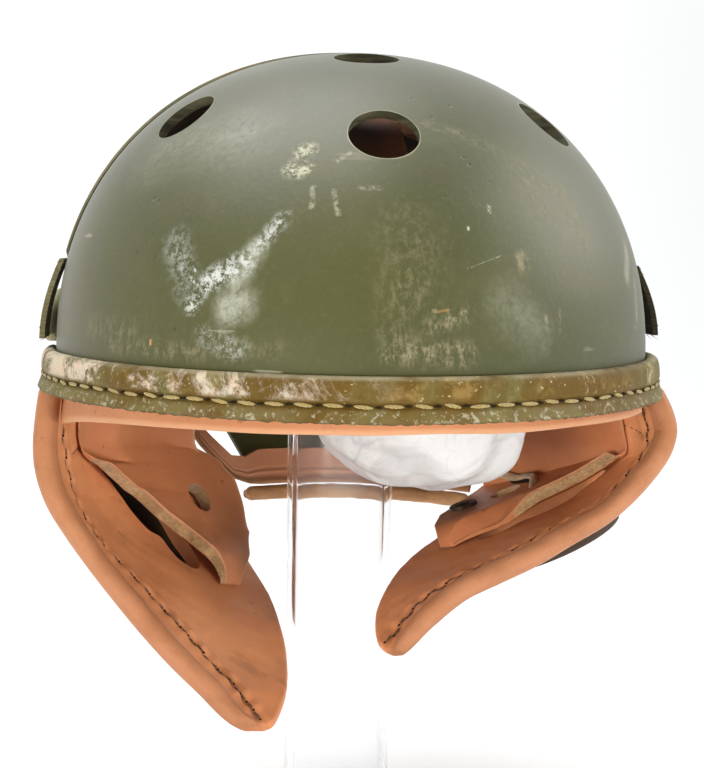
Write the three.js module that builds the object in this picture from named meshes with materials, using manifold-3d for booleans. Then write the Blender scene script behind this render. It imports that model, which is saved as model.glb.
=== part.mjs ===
// Tanker helmet of olive fibre with russet leather ear flaps, resting on a clear display stand.
// Millimetres, +Z up. The front of the helmet faces -Y and the wearer's left side is +X.
// The origin is the centre of the stand's base, on the surface that it stands on.

import * as THREE from 'three';
import { mergeVertices } from 'three/addons/utils/BufferGeometryUtils.js';
import Module from 'manifold-3d';

const solids = await Module();
solids.setup();

// Crown: a superellipse in plan, measured at the rim
const crownHalfWidth = 109;
const crownFront = 125;
const crownBack = 129;
const crownHeight = 109;
const crownWall = 3.2;
const planRoundness = 1.9;
const profileRoundness = 2.15;
const ventDiameter = 22.7;

// Where the helmet sits: its rim above the floor, and the clearances between pieces.
// The larger one is for pieces that follow a curve side by side in flat steps.
const rimHeight = 200;
const seatGap = 0.3;
const curvedGap = 0.8;

// Brow trim and lining
const rollDiameter = 7.6;
const rollTop = 0.9;
const flangeDrop = 12.8;
const flangeThickness = 2.3;
const flangeFlare = 2.6;
const liningThickness = 2;
const liningDrop = 17.3;
const liningDropRight = 25;
const liningDropLeft = 19.5;
const liningStandoff = 2.5;

// Cradle straps inside the crown
const cradleStraps = 6;
const cradleStrapWidth = 20;
const cradleThickness = 2;
const cradleHang = 15;
const cradleRingWidth = 9;

// Neck guard, its bindings and its lining
const guardWall = 3;
const guardRise = 22;
const guardDrop = 67.5;
const guardTuck = 17;
const bindingDiameter = 7;
const neckBandThickness = 2;
const neckRollDiameter = 6.6;

// Ear flaps and their inner pads
const flapDrop = 132;
const flapThickness = 6;
const flapBeadThickness = 8.4;
const padThickness = 6;
const padStandoff = 1.6;
const padLift = 4;
const padHole = 12;
const receiverDiameter = 58;
const receiverHeight = 8;
const receiverWall = 3;
const receiverBore = 26;
const snapDiameter = 12;
const snapHeight = 2.4;

// Straps outside the crown
const crownStrapWidth = 24;
const crownStrapThickness = 1.2;
const crownStrapBehind = 15;
const crownStrapReach = 0.935;
const tabWidth = 22;
const tabThickness = 2.4;
const tabAhead = 4;
const tabTop = 33;
const tabHeight = 26;
const tabProudRight = 0.8;
const tabProudLeft = 4;

// Display stand and its paper
const postDiameter = 42;
const postWall = 3.5;
const postBehind = 35;
const baseDiameter = 160;
const baseThickness = 8;
const wadRadius = 42;
const wadDrop = 52;
const wadBeside = 26;
const wadAhead = 10;

const rightTurn = Math.PI / 2;

function point(x, y, z) {
  return new THREE.Vector3(x, y, z);
}

function degrees(angle) {
  return THREE.MathUtils.degToRad(angle);
}

function signedPower(value, exponent) {
  return Math.sign(value) * Math.abs(value) ** exponent;
}

// A point of the rim's outline moved outward by outset; turn 0 is +X and a right turn is +Y
function rimPoint(turn, outset, height) {
  const reach = Math.sin(turn) < 0 ? crownFront : crownBack;
  const x = signedPower(Math.cos(turn), 2 / planRoundness) * (crownHalfWidth + outset);
  const y = signedPower(Math.sin(turn), 2 / planRoundness) * (reach + outset);
  return point(x, y, height);
}

// A point of the crown's surface moved inward by inset; climb 0 is the rim
function crownPoint(turn, climb, inset) {
  const shrink = Math.cos(climb) ** (2 / profileRoundness);
  const rise = Math.sin(climb) ** (2 / profileRoundness);
  const rim = rimPoint(turn, -inset, 0);
  return point(rim.x * shrink, rim.y * shrink, (crownHeight - inset) * rise);
}

// The crown's surface straight above a place in plan, moved outward by lift
function crownAbove(x, y, lift) {
  const reach = y < 0 ? crownFront : crownBack;
  const across = Math.abs(x) / (crownHalfWidth + lift);
  const along = Math.abs(y) / (reach + lift);
  const outline = (across ** planRoundness + along ** planRoundness) ** (1 / planRoundness);
  const rise = Math.max(0, 1 - outline ** profileRoundness) ** (1 / profileRoundness);
  return point(x, y, (crownHeight + lift) * rise);
}

// The turn at which the rim's outline has a given share of its reach along Y
function turnAtShare(share) {
  return Math.asin(signedPower(share, planRoundness / 2));
}

// A closed body skinned over rings of points, with fanned ends or closed on itself
function skin(rings, closed = false, endPoints = []) {
  const sides = rings[0].length;
  const vertices = rings.flat();
  const triangles = [];
  const bands = closed ? rings.length : rings.length - 1;
  for (let band = 0; band < bands; band += 1) {
    const near = band * sides;
    const far = ((band + 1) % rings.length) * sides;
    for (let side = 0; side < sides; side += 1) {
      const next = (side + 1) % sides;
      triangles.push(near + side, near + next, far + next);
      triangles.push(near + side, far + next, far + side);
    }
  }
  if (!closed) {
    const ends = [rings[0], rings[rings.length - 1]];
    ends.forEach((ring, end) => {
      const middle = ring.reduce((sum, corner) => sum.add(corner), point(0, 0, 0));
      vertices.push(endPoints[end] ?? middle.divideScalar(sides));
      const hub = vertices.length - 1;
      const start = end * (rings.length - 1) * sides;
      for (let side = 0; side < sides; side += 1) {
        const next = (side + 1) % sides;
        const fan = end === 0 ? [start + next, start + side] : [start + side, start + next];
        triangles.push(hub, ...fan);
      }
    });
  }
  return facingOut(vertices, triangles);
}

function facingOut(vertices, triangles) {
  let volume = 0;
  for (let corner = 0; corner < triangles.length; corner += 3) {
    const [a, b, c] = [0, 1, 2].map((step) => vertices[triangles[corner + step]]);
    volume += a.dot(point(0, 0, 0).crossVectors(b, c));
  }
  if (volume < 0) {
    triangles.reverse();
  }
  const geometry = new THREE.BufferGeometry();
  geometry.setFromPoints(vertices);
  geometry.setIndex(triangles);
  return geometry;
}

function toSolid(geometry) {
  const bare = geometry.clone();
  bare.deleteAttribute('normal');
  bare.deleteAttribute('uv');
  const merged = mergeVertices(bare, 1e-4);
  return new solids.Manifold(new solids.Mesh({
    numProp: 3,
    vertProperties: new Float32Array(merged.attributes.position.array),
    triVerts: new Uint32Array(merged.index.array),
  }));
}

function fromSolid(solid) {
  const mesh = solid.getMesh();
  const geometry = new THREE.BufferGeometry();
  geometry.setAttribute('position', new THREE.BufferAttribute(mesh.vertProperties, 3));
  geometry.setIndex(new THREE.BufferAttribute(mesh.triVerts, 1));
  return geometry;
}

function cut(body, tools) {
  const whole = tools.reduce((rest, tool) => rest.subtract(toSolid(tool)), toSolid(body));
  return fromSolid(whole);
}

function join(bodies) {
  const [first, ...others] = bodies.map(toSolid);
  return fromSolid(others.reduce((whole, other) => whole.add(other), first));
}

// A round bar of a given diameter along an axis through a centre
function bar(diameter, length, centre, axis, sides = 24) {
  const geometry = new THREE.CylinderGeometry(diameter / 2, diameter / 2, length, sides);
  const turn = new THREE.Quaternion().setFromUnitVectors(point(0, 1, 0), axis.clone().normalize());
  geometry.applyQuaternion(turn);
  geometry.translate(centre.x, centre.y, centre.z);
  return geometry;
}

// Crown

// Vents as shares of the half width and of the reach toward the front or back
const vents = [
  { across: 0, along: -0.76 },
  { across: 0, along: -0.33 },
  { across: -0.571, along: -0.368 },
  { across: 0.571, along: -0.368 },
  { across: -0.571, along: 0.37 },
  { across: 0.571, along: 0.37 },
  { across: 0, along: 0.36 },
  { across: 0, along: 0.76 },
];

function crownNormal(x, y) {
  const step = 0.5;
  const eastward = crownAbove(x + step, y, 0).sub(crownAbove(x - step, y, 0));
  const northward = crownAbove(x, y + step, 0).sub(crownAbove(x, y - step, 0));
  return eastward.cross(northward).normalize();
}

function crownShell() {
  const turns = 40;
  const climbs = 9;
  const poleClimb = rightTurn * 0.97;
  const ringAt = (climb, inset) => Array.from(
    { length: turns },
    (unused, step) => crownPoint((step / turns) * 4 * rightTurn, climb, inset),
  );
  const climbAt = (step) => poleClimb * (step / climbs);
  const steps = Array.from({ length: climbs + 1 }, (unused, step) => step);
  const outside = steps.map((step) => ringAt(climbAt(climbs - step), 0));
  const inside = steps.map((step) => ringAt(climbAt(step), crownWall));
  const poles = [point(0, 0, crownHeight), point(0, 0, crownHeight - crownWall)];
  const shell = skin([...outside, ...inside], false, poles);
  const drills = vents.map(({ across, along }) => {
    const reach = along < 0 ? crownFront : crownBack;
    const x = across * crownHalfWidth;
    const y = along * reach;
    const axis = crownNormal(x, y);
    return bar(ventDiameter, crownWall * 8, crownAbove(x, y, 0), axis, 16);
  });
  return cut(shell, drills);
}

// Brow roll with its stitched flange, from ear to ear round the front

const browHalfSweep = degrees(96);

function browSweep(section, halfSweep, stations) {
  return Array.from({ length: stations + 1 }, (unused, step) => {
    const turn = -rightTurn + halfSweep * ((2 * step) / stations - 1);
    return section(turn);
  });
}

function browRoll() {
  const radius = rollDiameter / 2;
  const inner = seatGap;
  const centre = rollTop - radius;
  const section = (turn) => {
    const arcSteps = 5;
    const arcFrom = degrees(180);
    const arcTo = degrees(-62);
    const arc = Array.from({ length: arcSteps + 1 }, (unused, step) => {
      const angle = arcFrom + (arcTo - arcFrom) * (step / arcSteps);
      const outset = inner + radius * (1 + Math.cos(angle));
      return rimPoint(turn, outset, centre + radius * Math.sin(angle));
    });
    const flangeOuter = inner + flangeThickness + 1;
    return [
      ...arc,
      rimPoint(turn, flangeOuter, rollTop - rollDiameter - 0.6),
      rimPoint(turn, flangeOuter + flangeFlare, -flangeDrop + 0.6),
      rimPoint(turn, flangeOuter + flangeFlare - 0.8, -flangeDrop),
      rimPoint(turn, flangeOuter + flangeFlare - flangeThickness, -flangeDrop),
      rimPoint(turn, inner + 0.4, rollTop - rollDiameter - 0.2),
    ];
  };
  return skin(browSweep(section, browHalfSweep, 34));
}

// Lining: a full band inside the crown whose front hangs below the flange

const liningHalfSweep = degrees(78);
const liningTopClimb = degrees(15);
const liningInset = crownWall + seatGap + liningStandoff;

const liningRearLift = 1.5;

// The share of the lining's full drop at a turn: whole round the front, none at the rear
function liningShown(turn) {
  const fade = degrees(5);
  const fromFront = Math.abs(Math.atan2(Math.cos(turn), -Math.sin(turn)));
  return THREE.MathUtils.smoothstep(liningHalfSweep + fade - fromFront, 0, fade);
}

function liningDropAt(turn) {
  const fromFront = Math.abs(Math.atan2(Math.cos(turn), -Math.sin(turn)));
  const sideDrop = Math.cos(turn) < 0 ? liningDropRight : liningDropLeft;
  const drop = THREE.MathUtils.lerp(liningDrop, sideDrop, (fromFront / liningHalfSweep) ** 3);
  return THREE.MathUtils.lerp(-liningRearLift, drop, liningShown(turn));
}

function browLining() {
  const stations = 46;
  const rimInset = crownWall + curvedGap;
  const rings = Array.from({ length: stations }, (unused, step) => {
    const turn = (step / stations) * 4 * rightTurn;
    const drop = liningDropAt(turn);
    const lowInset = THREE.MathUtils.lerp(rimInset, 2 * seatGap, liningShown(turn));
    const neck = Math.min(drop - seatGap, -seatGap);
    return [
      rimPoint(turn, -lowInset, -drop),
      rimPoint(turn, -rimInset, -neck),
      crownPoint(turn, liningTopClimb / 2, liningInset),
      crownPoint(turn, liningTopClimb, liningInset),
      crownPoint(turn, liningTopClimb, liningInset + liningThickness),
      crownPoint(turn, liningTopClimb / 2, liningInset + liningThickness),
      rimPoint(turn, -rimInset - liningThickness, -neck),
      rimPoint(turn, -lowInset - liningThickness, -drop),
    ];
  });
  return skin(rings, true);
}

// Cradle: leather straps rising from the lining to a ring under the crown's top

const cradleInset = liningInset + liningThickness + 2 * curvedGap;
const cradleTopClimb = degrees(76);

function cradlePoint(turn, climb, depth) {
  const sag = cradleHang * (climb / rightTurn) ** 1.5;
  return crownPoint(turn, climb, cradleInset + sag + depth);
}

function cradleStrap(turn) {
  const stations = 6;
  const lowClimb = liningTopClimb * 0.5;
  const rings = Array.from({ length: stations + 1 }, (unused, step) => {
    const climb = lowClimb + (cradleTopClimb - lowClimb) * (step / stations);
    const middle = cradlePoint(turn, climb, 0);
    const side = point(-middle.y, middle.x, 0).normalize().multiplyScalar(cradleStrapWidth / 2);
    const inner = cradlePoint(turn, climb, cradleThickness);
    return [
      middle.clone().add(side),
      middle.clone().sub(side),
      inner.clone().sub(side),
      inner.clone().add(side),
    ];
  });
  return skin(rings);
}

function cradle() {
  const stations = 18;
  const ringSpan = degrees(cradleRingWidth / 2);
  const ring = Array.from({ length: stations }, (unused, step) => {
    const turn = (step / stations) * 4 * rightTurn;
    const low = cradleTopClimb - ringSpan;
    const high = cradleTopClimb + ringSpan;
    return [
      cradlePoint(turn, low, -0.5),
      cradlePoint(turn, high, -0.5),
      cradlePoint(turn, high, cradleThickness + 0.5),
      cradlePoint(turn, low, cradleThickness + 0.5),
    ];
  });
  const straps = Array.from({ length: cradleStraps }, (unused, step) => {
    const turn = ((step + 0.5) / cradleStraps) * 4 * rightTurn;
    return cradleStrap(turn);
  });
  return join([skin(ring, true), ...straps]);
}

// Neck guard: fromBack is the angle from the middle of the back, drop a share of guardDrop

const guardEdge = [
  { fromBack: 0, drop: 1 },
  { fromBack: 12, drop: 0.99 },
  { fromBack: 20, drop: 0.94 },
  { fromBack: 22.5, drop: 0.85 },
  { fromBack: 26, drop: 0.66 },
  { fromBack: 31, drop: 0.5 },
  { fromBack: 40, drop: 0.34 },
  { fromBack: 55, drop: 0.2 },
  { fromBack: 82, drop: 0.12 },
];
const guardHalfSweep = 80;

function tableValue(table, key, column, place) {
  const upper = Math.max(1, table.findIndex((row) => row[key] >= place));
  const before = table[upper - 1];
  const after = table[upper];
  const share = (place - before[key]) / (after[key] - before[key]);
  return THREE.MathUtils.lerp(before[column], after[column], share);
}

// A point of the guard's outer face: level 0 is its top edge and level 1 its lower edge
function guardPoint(fromBack, level, depth) {
  const turn = rightTurn + degrees(fromBack);
  const low = guardDrop * tableValue(guardEdge, 'fromBack', 'drop', Math.abs(fromBack));
  const height = THREE.MathUtils.lerp(guardRise, -low, level);
  const hug = curvedGap + guardWall - depth;
  if (height > 0) {
    const climb = Math.asin(Math.min(1, height / crownHeight) ** (profileRoundness / 2));
    return crownPoint(turn, climb, -hug);
  }
  const tuck = guardTuck * (-height / guardDrop) ** 1.6;
  return rimPoint(turn, hug - tuck, height);
}

function neckGuard() {
  const stations = 26;
  const levels = [0, 0.2, 0.4, 0.7, 1];
  const rings = Array.from({ length: stations + 1 }, (unused, step) => {
    const fromBack = guardHalfSweep * ((2 * step) / stations - 1);
    const outside = levels.map((level) => guardPoint(fromBack, level, 0));
    const inside = levels.map((level) => guardPoint(fromBack, level, guardWall));
    return [...outside, ...inside.reverse()];
  });
  return skin(rings);
}

function tubeAlong(points, diameter, steps, sides) {
  const outline = new THREE.Shape();
  outline.absarc(0, 0, diameter / 2, 0, 4 * rightTurn);
  return new THREE.ExtrudeGeometry(outline, {
    steps,
    curveSegments: sides / 2,
    bevelEnabled: false,
    extrudePath: new THREE.CatmullRomCurve3(points),
  });
}

// The rolled leather on the guard's top edge turns down at both front ends
function guardBinding() {
  const radius = bindingDiameter / 2;
  const clear = radius + curvedGap;
  const overEdge = (fromBack, height) => {
    const turn = rightTurn + degrees(fromBack);
    const climb = Math.asin(Math.max(0, height / crownHeight) ** (profileRoundness / 2));
    return height > 0 ? crownPoint(turn, climb, -clear) : rimPoint(turn, clear, height);
  };
  const endAngle = guardHalfSweep + THREE.MathUtils.radToDeg(clear / crownHalfWidth);
  const top = guardRise + clear;
  const reach = guardHalfSweep - 10;
  const steps = 7;
  const along = Array.from({ length: steps + 1 }, (unused, step) => (
    overEdge(THREE.MathUtils.lerp(-reach, reach, step / steps), top)
  ));
  const end = (side) => [
    overEdge(side * endAngle, rollTop + clear),
    overEdge(side * endAngle, guardRise * 0.6),
    overEdge(side * (endAngle - 1), top - 1.5),
  ];
  const route = [...end(-1), ...along, ...end(1).reverse()];
  return tubeAlong(route, bindingDiameter, 36, 8);
}

// Lining band of the neck: level from the left flap's rear edge to the right flap's, then it
// climbs beside the right one. Its low and high edges are shares of guardDrop below the rim.
const neckBand = [
  { fromBack: -43, low: 0.995, high: 0.775 },
  { fromBack: 19, low: 0.995, high: 0.775 },
  { fromBack: 23, low: 0.985, high: 0.815 },
  { fromBack: 27, low: 0.95, high: 0.8 },
  { fromBack: 30, low: 0.875, high: 0.725 },
  { fromBack: 33, low: 0.8, high: 0.645 },
  { fromBack: 35.5, low: 0.725, high: 0.565 },
  { fromBack: 38, low: 0.62, high: 0.445 },
  { fromBack: 39, low: 0.55, high: 0.38 },
];
const neckEdgeTo = 24;

function neckBandPoint(fromBack, height, outset) {
  const turn = rightTurn + degrees(fromBack);
  const tuck = guardTuck * (-height / guardDrop) ** 1.6;
  return rimPoint(turn, outset - tuck, height);
}

function neckLining() {
  const stations = 32;
  const outer = -seatGap;
  const inner = outer - neckBandThickness;
  const first = neckBand[0].fromBack;
  const last = neckBand[neckBand.length - 1].fromBack;
  const rings = Array.from({ length: stations + 1 }, (unused, step) => {
    const fromBack = THREE.MathUtils.lerp(first, last, step / stations);
    const low = -guardDrop * tableValue(neckBand, 'fromBack', 'low', fromBack);
    const high = -guardDrop * tableValue(neckBand, 'fromBack', 'high', fromBack);
    return [
      neckBandPoint(fromBack, low, outer),
      neckBandPoint(fromBack, high, outer),
      neckBandPoint(fromBack, high, inner),
      neckBandPoint(fromBack, low, inner),
    ];
  });
  return skin(rings);
}

function neckEdge() {
  const radius = neckRollDiameter / 2;
  const height = -guardDrop - radius - seatGap;
  const count = 12;
  const route = Array.from({ length: count + 1 }, (unused, step) => {
    const fromBack = THREE.MathUtils.lerp(neckBand[0].fromBack, neckEdgeTo, step / count);
    return neckBandPoint(fromBack, height, guardWall / 2 - neckBandThickness / 2);
  });
  return tubeAlong(route, neckRollDiameter, 18, 8);
}

// Ear flaps. Each row is a line across the flap from its front to its rear edge, from the rim
// down to the tip: out is a share of the half width, back of the crown's reach toward the front
// or back, down of flapDrop, and bow how far the middle of the line bulges outward.

const wearersRight = {
  side: -1,
  rows: [
    { out: 1.014, back: -0.21, down: 0.096, rearOut: 0.68, rearBack: 0.66, rearDown: 0.1, bow: 0.06 },
    { out: 1.024, back: -0.22, down: 0.186, rearOut: 0.6, rearBack: 0.77, rearDown: 0.35, bow: 0.1 },
    { out: 1.019, back: -0.25, down: 0.296, rearOut: 0.46, rearBack: 0.82, rearDown: 0.47, bow: 0.14 },
    { out: 0.984, back: -0.27, down: 0.386, rearOut: 0.4, rearBack: 0.79, rearDown: 0.59, bow: 0.15 },
    { out: 0.914, back: -0.3, down: 0.476, rearOut: 0.37, rearBack: 0.69, rearDown: 0.69, bow: 0.14 },
    { out: 0.844, back: -0.32, down: 0.556, rearOut: 0.3, rearBack: 0.57, rearDown: 0.765, bow: 0.12 },
    { out: 0.764, back: -0.35, down: 0.636, rearOut: 0.24, rearBack: 0.41, rearDown: 0.83, bow: 0.1 },
    { out: 0.684, back: -0.37, down: 0.716, rearOut: 0.21, rearBack: 0.22, rearDown: 0.89, bow: 0.08 },
    { out: 0.594, back: -0.39, down: 0.796, rearOut: 0.205, rearBack: 0.07, rearDown: 0.94, bow: 0.06 },
    { out: 0.494, back: -0.4, down: 0.876, rearOut: 0.22, rearBack: -0.12, rearDown: 0.975, bow: 0.04 },
    { out: 0.414, back: -0.41, down: 0.946, rearOut: 0.26, rearBack: -0.28, rearDown: 1.0, bow: 0.02 },
    { out: 0.344, back: -0.4, down: 0.986, rearOut: 0.29, rearBack: -0.35, rearDown: 1.01, bow: 0.01 },
  ],
};

const wearersLeft = {
  side: 1,
  rows: [
    { out: 1.026, back: -0.21, down: 0.125, rearOut: 0.66, rearBack: 0.7, rearDown: 0.1, bow: 0.06 },
    { out: 1.061, back: -0.22, down: 0.172, rearOut: 0.68, rearBack: 0.72, rearDown: 0.35, bow: 0.1 },
    { out: 1.036, back: -0.25, down: 0.242, rearOut: 0.69, rearBack: 0.7, rearDown: 0.54, bow: 0.14 },
    { out: 0.946, back: -0.28, down: 0.337, rearOut: 0.57, rearBack: 0.6, rearDown: 0.6, bow: 0.15 },
    { out: 0.826, back: -0.31, down: 0.422, rearOut: 0.46, rearBack: 0.49, rearDown: 0.63, bow: 0.13 },
    { out: 0.696, back: -0.33, down: 0.482, rearOut: 0.35, rearBack: 0.38, rearDown: 0.655, bow: 0.11 },
    { out: 0.576, back: -0.345, down: 0.537, rearOut: 0.27, rearBack: 0.28, rearDown: 0.675, bow: 0.09 },
    { out: 0.446, back: -0.36, down: 0.582, rearOut: 0.2, rearBack: 0.17, rearDown: 0.7, bow: 0.07 },
    { out: 0.336, back: -0.37, down: 0.622, rearOut: 0.14, rearBack: 0.02, rearDown: 0.72, bow: 0.05 },
    { out: 0.226, back: -0.39, down: 0.69, rearOut: 0.09, rearBack: -0.12, rearDown: 0.755, bow: 0.03 },
    { out: 0.146, back: -0.4, down: 0.76, rearOut: 0.075, rearBack: -0.25, rearDown: 0.79, bow: 0.02 },
    { out: 0.116, back: -0.385, down: 0.795, rearOut: 0.09, rearBack: -0.33, rearDown: 0.81, bow: 0.01 },
  ],
};

// The ear opening and the pad's small hole lie on the flap's own grid:
// across runs from the front edge to the rear edge, along from the rim to the tip
const earOpening = [
  { across: 0.44, along: 0.2 },
  { across: 0.5, along: 0.25 },
  { across: 0.54, along: 0.3 },
  { across: 0.59, along: 0.35 },
  { across: 0.64, along: 0.38 },
  { across: 0.64, along: 0.44 },
  { across: 0.68, along: 0.47 },
  { across: 0.73, along: 0.46 },
  { across: 0.76, along: 0.4 },
  { across: 0.74, along: 0.32 },
  { across: 0.68, along: 0.25 },
  { across: 0.58, along: 0.2 },
  { across: 0.5, along: 0.18 },
];
const padHolePlace = { across: 0.815, along: 0.285 };
const receiverPlace = { across: 0.6, along: 0.34 };
const snapPlace = { across: 0.88, along: 0.386 };

// The inner pad's front edge on the right and on the left flap, and its rear edge,
// from the rim down to its free corner
const padRows = [
  { along: 0.03, right: 0.29, left: 0.27, to: 1 },
  { along: 0.1, right: 0.29, left: 0.27, to: 1 },
  { along: 0.16, right: 0.31, left: 0.29, to: 1 },
  { along: 0.2, right: 0.385, left: 0.33, to: 1 },
  { along: 0.24, right: 0.455, left: 0.38, to: 1 },
  { along: 0.305, right: 0.545, left: 0.45, to: 1 },
  { along: 0.38, right: 0.638, left: 0.55, to: 1 },
  { along: 0.46, right: 0.703, left: 0.67, to: 0.93 },
  { along: 0.52, right: 0.78, left: 0.78, to: 0.85 },
];

function edgeCurve(flap, out, back, down) {
  const corners = flap.rows.map((row) => {
    const reach = row[back] < 0 ? crownFront : crownBack;
    return point(flap.side * row[out] * crownHalfWidth, row[back] * reach, -row[down] * flapDrop);
  });
  return new THREE.CatmullRomCurve3(corners);
}

// Where the neck guard covers a flap, the flap is drawn in to lie inside the guard
function insideGuard(spot) {
  const reach = spot.y < 0 ? crownFront : crownBack;
  const across = Math.abs(spot.x) / crownHalfWidth;
  const along = Math.abs(spot.y) / reach;
  const outline = (across ** planRoundness + along ** planRoundness) ** (1 / planRoundness);
  const rearward = signedPower(spot.y / reach, planRoundness / 2);
  const angle = Math.atan2(across ** (planRoundness / 2), rearward);
  const fromBack = THREE.MathUtils.radToDeg(angle);
  const last = guardEdge[guardEdge.length - 1].fromBack;
  const low = guardDrop * tableValue(guardEdge, 'fromBack', 'drop', Math.min(fromBack, last));
  const below = (-spot.z - low) / guardDrop;
  const beside = THREE.MathUtils.smoothstep(fromBack, guardHalfSweep + 2, guardHalfSweep + 10);
  const hold = (1 - THREE.MathUtils.smoothstep(below, 0.03, 0.46)) * (1 - beside);
  const tuck = guardTuck * (Math.max(0, -spot.z) / guardDrop) ** 1.6;
  const limit = 1 - (flapThickness / 2 + curvedGap + tuck) / crownHalfWidth;
  const draw = outline > limit ? THREE.MathUtils.lerp(1, limit / outline, hold) : 1;
  return point(spot.x * draw, spot.y * draw, spot.z);
}

function flapEdges(flap) {
  flap.front ??= edgeCurve(flap, 'out', 'back', 'down');
  flap.rear ??= edgeCurve(flap, 'rearOut', 'rearBack', 'rearDown');
  return flap;
}

// The flap's middle surface; its top edge is drawn in under the crown's rim
function flapMiddle(flap, across, along) {
  const { front, rear, rows, side } = flapEdges(flap);
  const from = front.getPoint(along);
  const to = rear.getPoint(along);
  const chord = to.clone().sub(from);
  const outward = point(side * Math.abs(chord.y), -side * chord.x * Math.sign(chord.y || 1), 0);
  outward.normalize();
  const place = along * (rows.length - 1);
  const row = Math.min(Math.floor(place), rows.length - 2);
  const bow = THREE.MathUtils.lerp(rows[row].bow, rows[row + 1].bow, place - row);
  const bulge = 4 * across * (1 - across) * bow * crownHalfWidth;
  const hanging = from.lerp(to, across).addScaledVector(outward, bulge);
  const held = THREE.MathUtils.smoothstep(along, 0, 0.14);
  return insideGuard(flapTop(flap, across).lerp(hanging, held));
}

function flapTop(flap, across) {
  const first = flap.rows[0];
  const share = THREE.MathUtils.lerp(first.back, first.rearBack, across);
  const turn = turnAtShare(share);
  const behindRoll = THREE.MathUtils.smoothstep(share, 0.14, 0.24);
  const underRoll = flangeDrop + 3 * curvedGap;
  const outset = THREE.MathUtils.lerp(rollDiameter * 0.6, -flapThickness / 2 - seatGap, behindRoll);
  const drop = THREE.MathUtils.lerp(underRoll, 2 * curvedGap, behindRoll);
  const top = rimPoint(turn, outset, -drop);
  return point(flap.side * top.x, top.y, top.z);
}

// The inward direction, square to the flap's middle surface
function flapNormal(flap, across, along) {
  const step = 0.01;
  const a = Math.min(Math.max(across, step), 1 - step);
  const b = Math.min(Math.max(along, step), 1 - step);
  const rearward = flapMiddle(flap, a + step, b).sub(flapMiddle(flap, a - step, b));
  const downward = flapMiddle(flap, a, b + step).sub(flapMiddle(flap, a, b - step));
  return rearward.cross(downward).normalize().multiplyScalar(flap.side);
}

function flapPoint(flap, across, along, depth) {
  return flapMiddle(flap, across, along).addScaledVector(flapNormal(flap, across, along), depth);
}

// Half the flap's thickness at a distance from its front edge: a round bead, a sewn groove, a pad
const flapProfile = [
  { distance: 0, half: 0.1 },
  { distance: 1.2, half: 0.7 },
  { distance: 4, half: 1 },
  { distance: 7, half: 0.62 },
  { distance: 10, half: 0.72 },
];

function flapSlab(flap, extra = 0) {
  const rowsDown = 16;
  const rings = Array.from({ length: rowsDown + 1 }, (unused, step) => {
    const along = step / rowsDown;
    const width = flapMiddle(flap, 0, along).distanceTo(flapMiddle(flap, 1, along));
    const fit = Math.min(1, width / 40);
    const bead = flapBeadThickness / 2;
    const plain = flapThickness / 2;
    const front = flapProfile.map(({ distance, half }) => (
      { across: (distance * fit) / width, half: half * bead * fit ** 0.5 }
    ));
    const start = front[front.length - 1].across;
    const middle = [0.12, 0.25, 0.34, 0.5, 0.7, 0.88].map((share) => (
      { across: THREE.MathUtils.lerp(start, 1, share), half: plain * fit ** 0.5 }
    ));
    const rear = [
      { across: 1 - (1.5 * fit) / width, half: plain * 0.7 * fit ** 0.5 },
      { across: 1, half: 0.4 * fit },
    ];
    const stations = [...front, ...middle, ...rear];
    const inner = stations.map(({ across, half }) => flapPoint(flap, across, along, half + extra));
    const outer = stations.map(({ across, half }) => flapPoint(flap, across, along, -half - extra));
    return [...inner, ...outer.reverse()];
  });
  return skin(rings);
}

// A plug through the flap whose outline is given on the flap's grid
function flapPlug(flap, outline, depth) {
  const heart = { across: 0, along: 0 };
  outline.forEach(({ across, along }) => {
    heart.across += across / outline.length;
    heart.along += along / outline.length;
  });
  const ringAt = (spread, level) => outline.map(({ across, along }) => flapPoint(
    flap,
    THREE.MathUtils.lerp(heart.across, across, spread),
    THREE.MathUtils.lerp(heart.along, along, spread),
    level,
  ));
  const spreads = [0.1, 0.55, 1];
  const outer = spreads.map((spread) => ringAt(spread, -depth));
  const inner = spreads.map((spread) => ringAt(spread, depth)).reverse();
  return skin([...outer, ...inner]);
}

// A round bar square to the flap at a place on its grid, from one depth to another
function flapBar(flap, place, diameter, from, to, sides) {
  const normal = flapNormal(flap, place.across, place.along);
  const centre = flapPoint(flap, place.across, place.along, (from + to) / 2);
  return bar(diameter, to - from, centre, normal, sides);
}

function earFlap(flap) {
  return cut(flapSlab(flap), [flapPlug(flap, earOpening, flapBeadThickness * 1.5)]);
}

// The pad's outer face stands off the flap's middle surface, most at its free front edge
function padFace(share, along) {
  const free = THREE.MathUtils.smoothstep(along, 0.1, 0.36);
  return flapThickness / 2 + padStandoff + padLift * free * (1 - share);
}

// The inner pad covers the rear of the flap; its front edge runs down beside the ear opening
function earPad(flap) {
  const shares = [0, 0.25, 0.5, 0.75, 1];
  const last = padRows[padRows.length - 1].along;
  const steps = 9;
  const rings = Array.from({ length: steps + 1 }, (unused, step) => {
    const along = THREE.MathUtils.lerp(padRows[0].along, last, step / steps);
    const from = tableValue(padRows, 'along', flap.side < 0 ? 'right' : 'left', along);
    const to = tableValue(padRows, 'along', 'to', along);
    const places = shares.map((share) => ({ share, across: THREE.MathUtils.lerp(from, to, share) }));
    const inner = places.map(({ share, across }) => (
      flapPoint(flap, across, along, padFace(share, along) + padThickness)
    ));
    const outer = places.map(({ share, across }) => (
      flapPoint(flap, across, along, padFace(share, along))
    ));
    return [...inner, ...outer.reverse()];
  });
  const hole = flapBar(flap, padHolePlace, padHole, 0, padThickness * 4, 14);
  return cut(skin(rings), [hole]);
}

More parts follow.
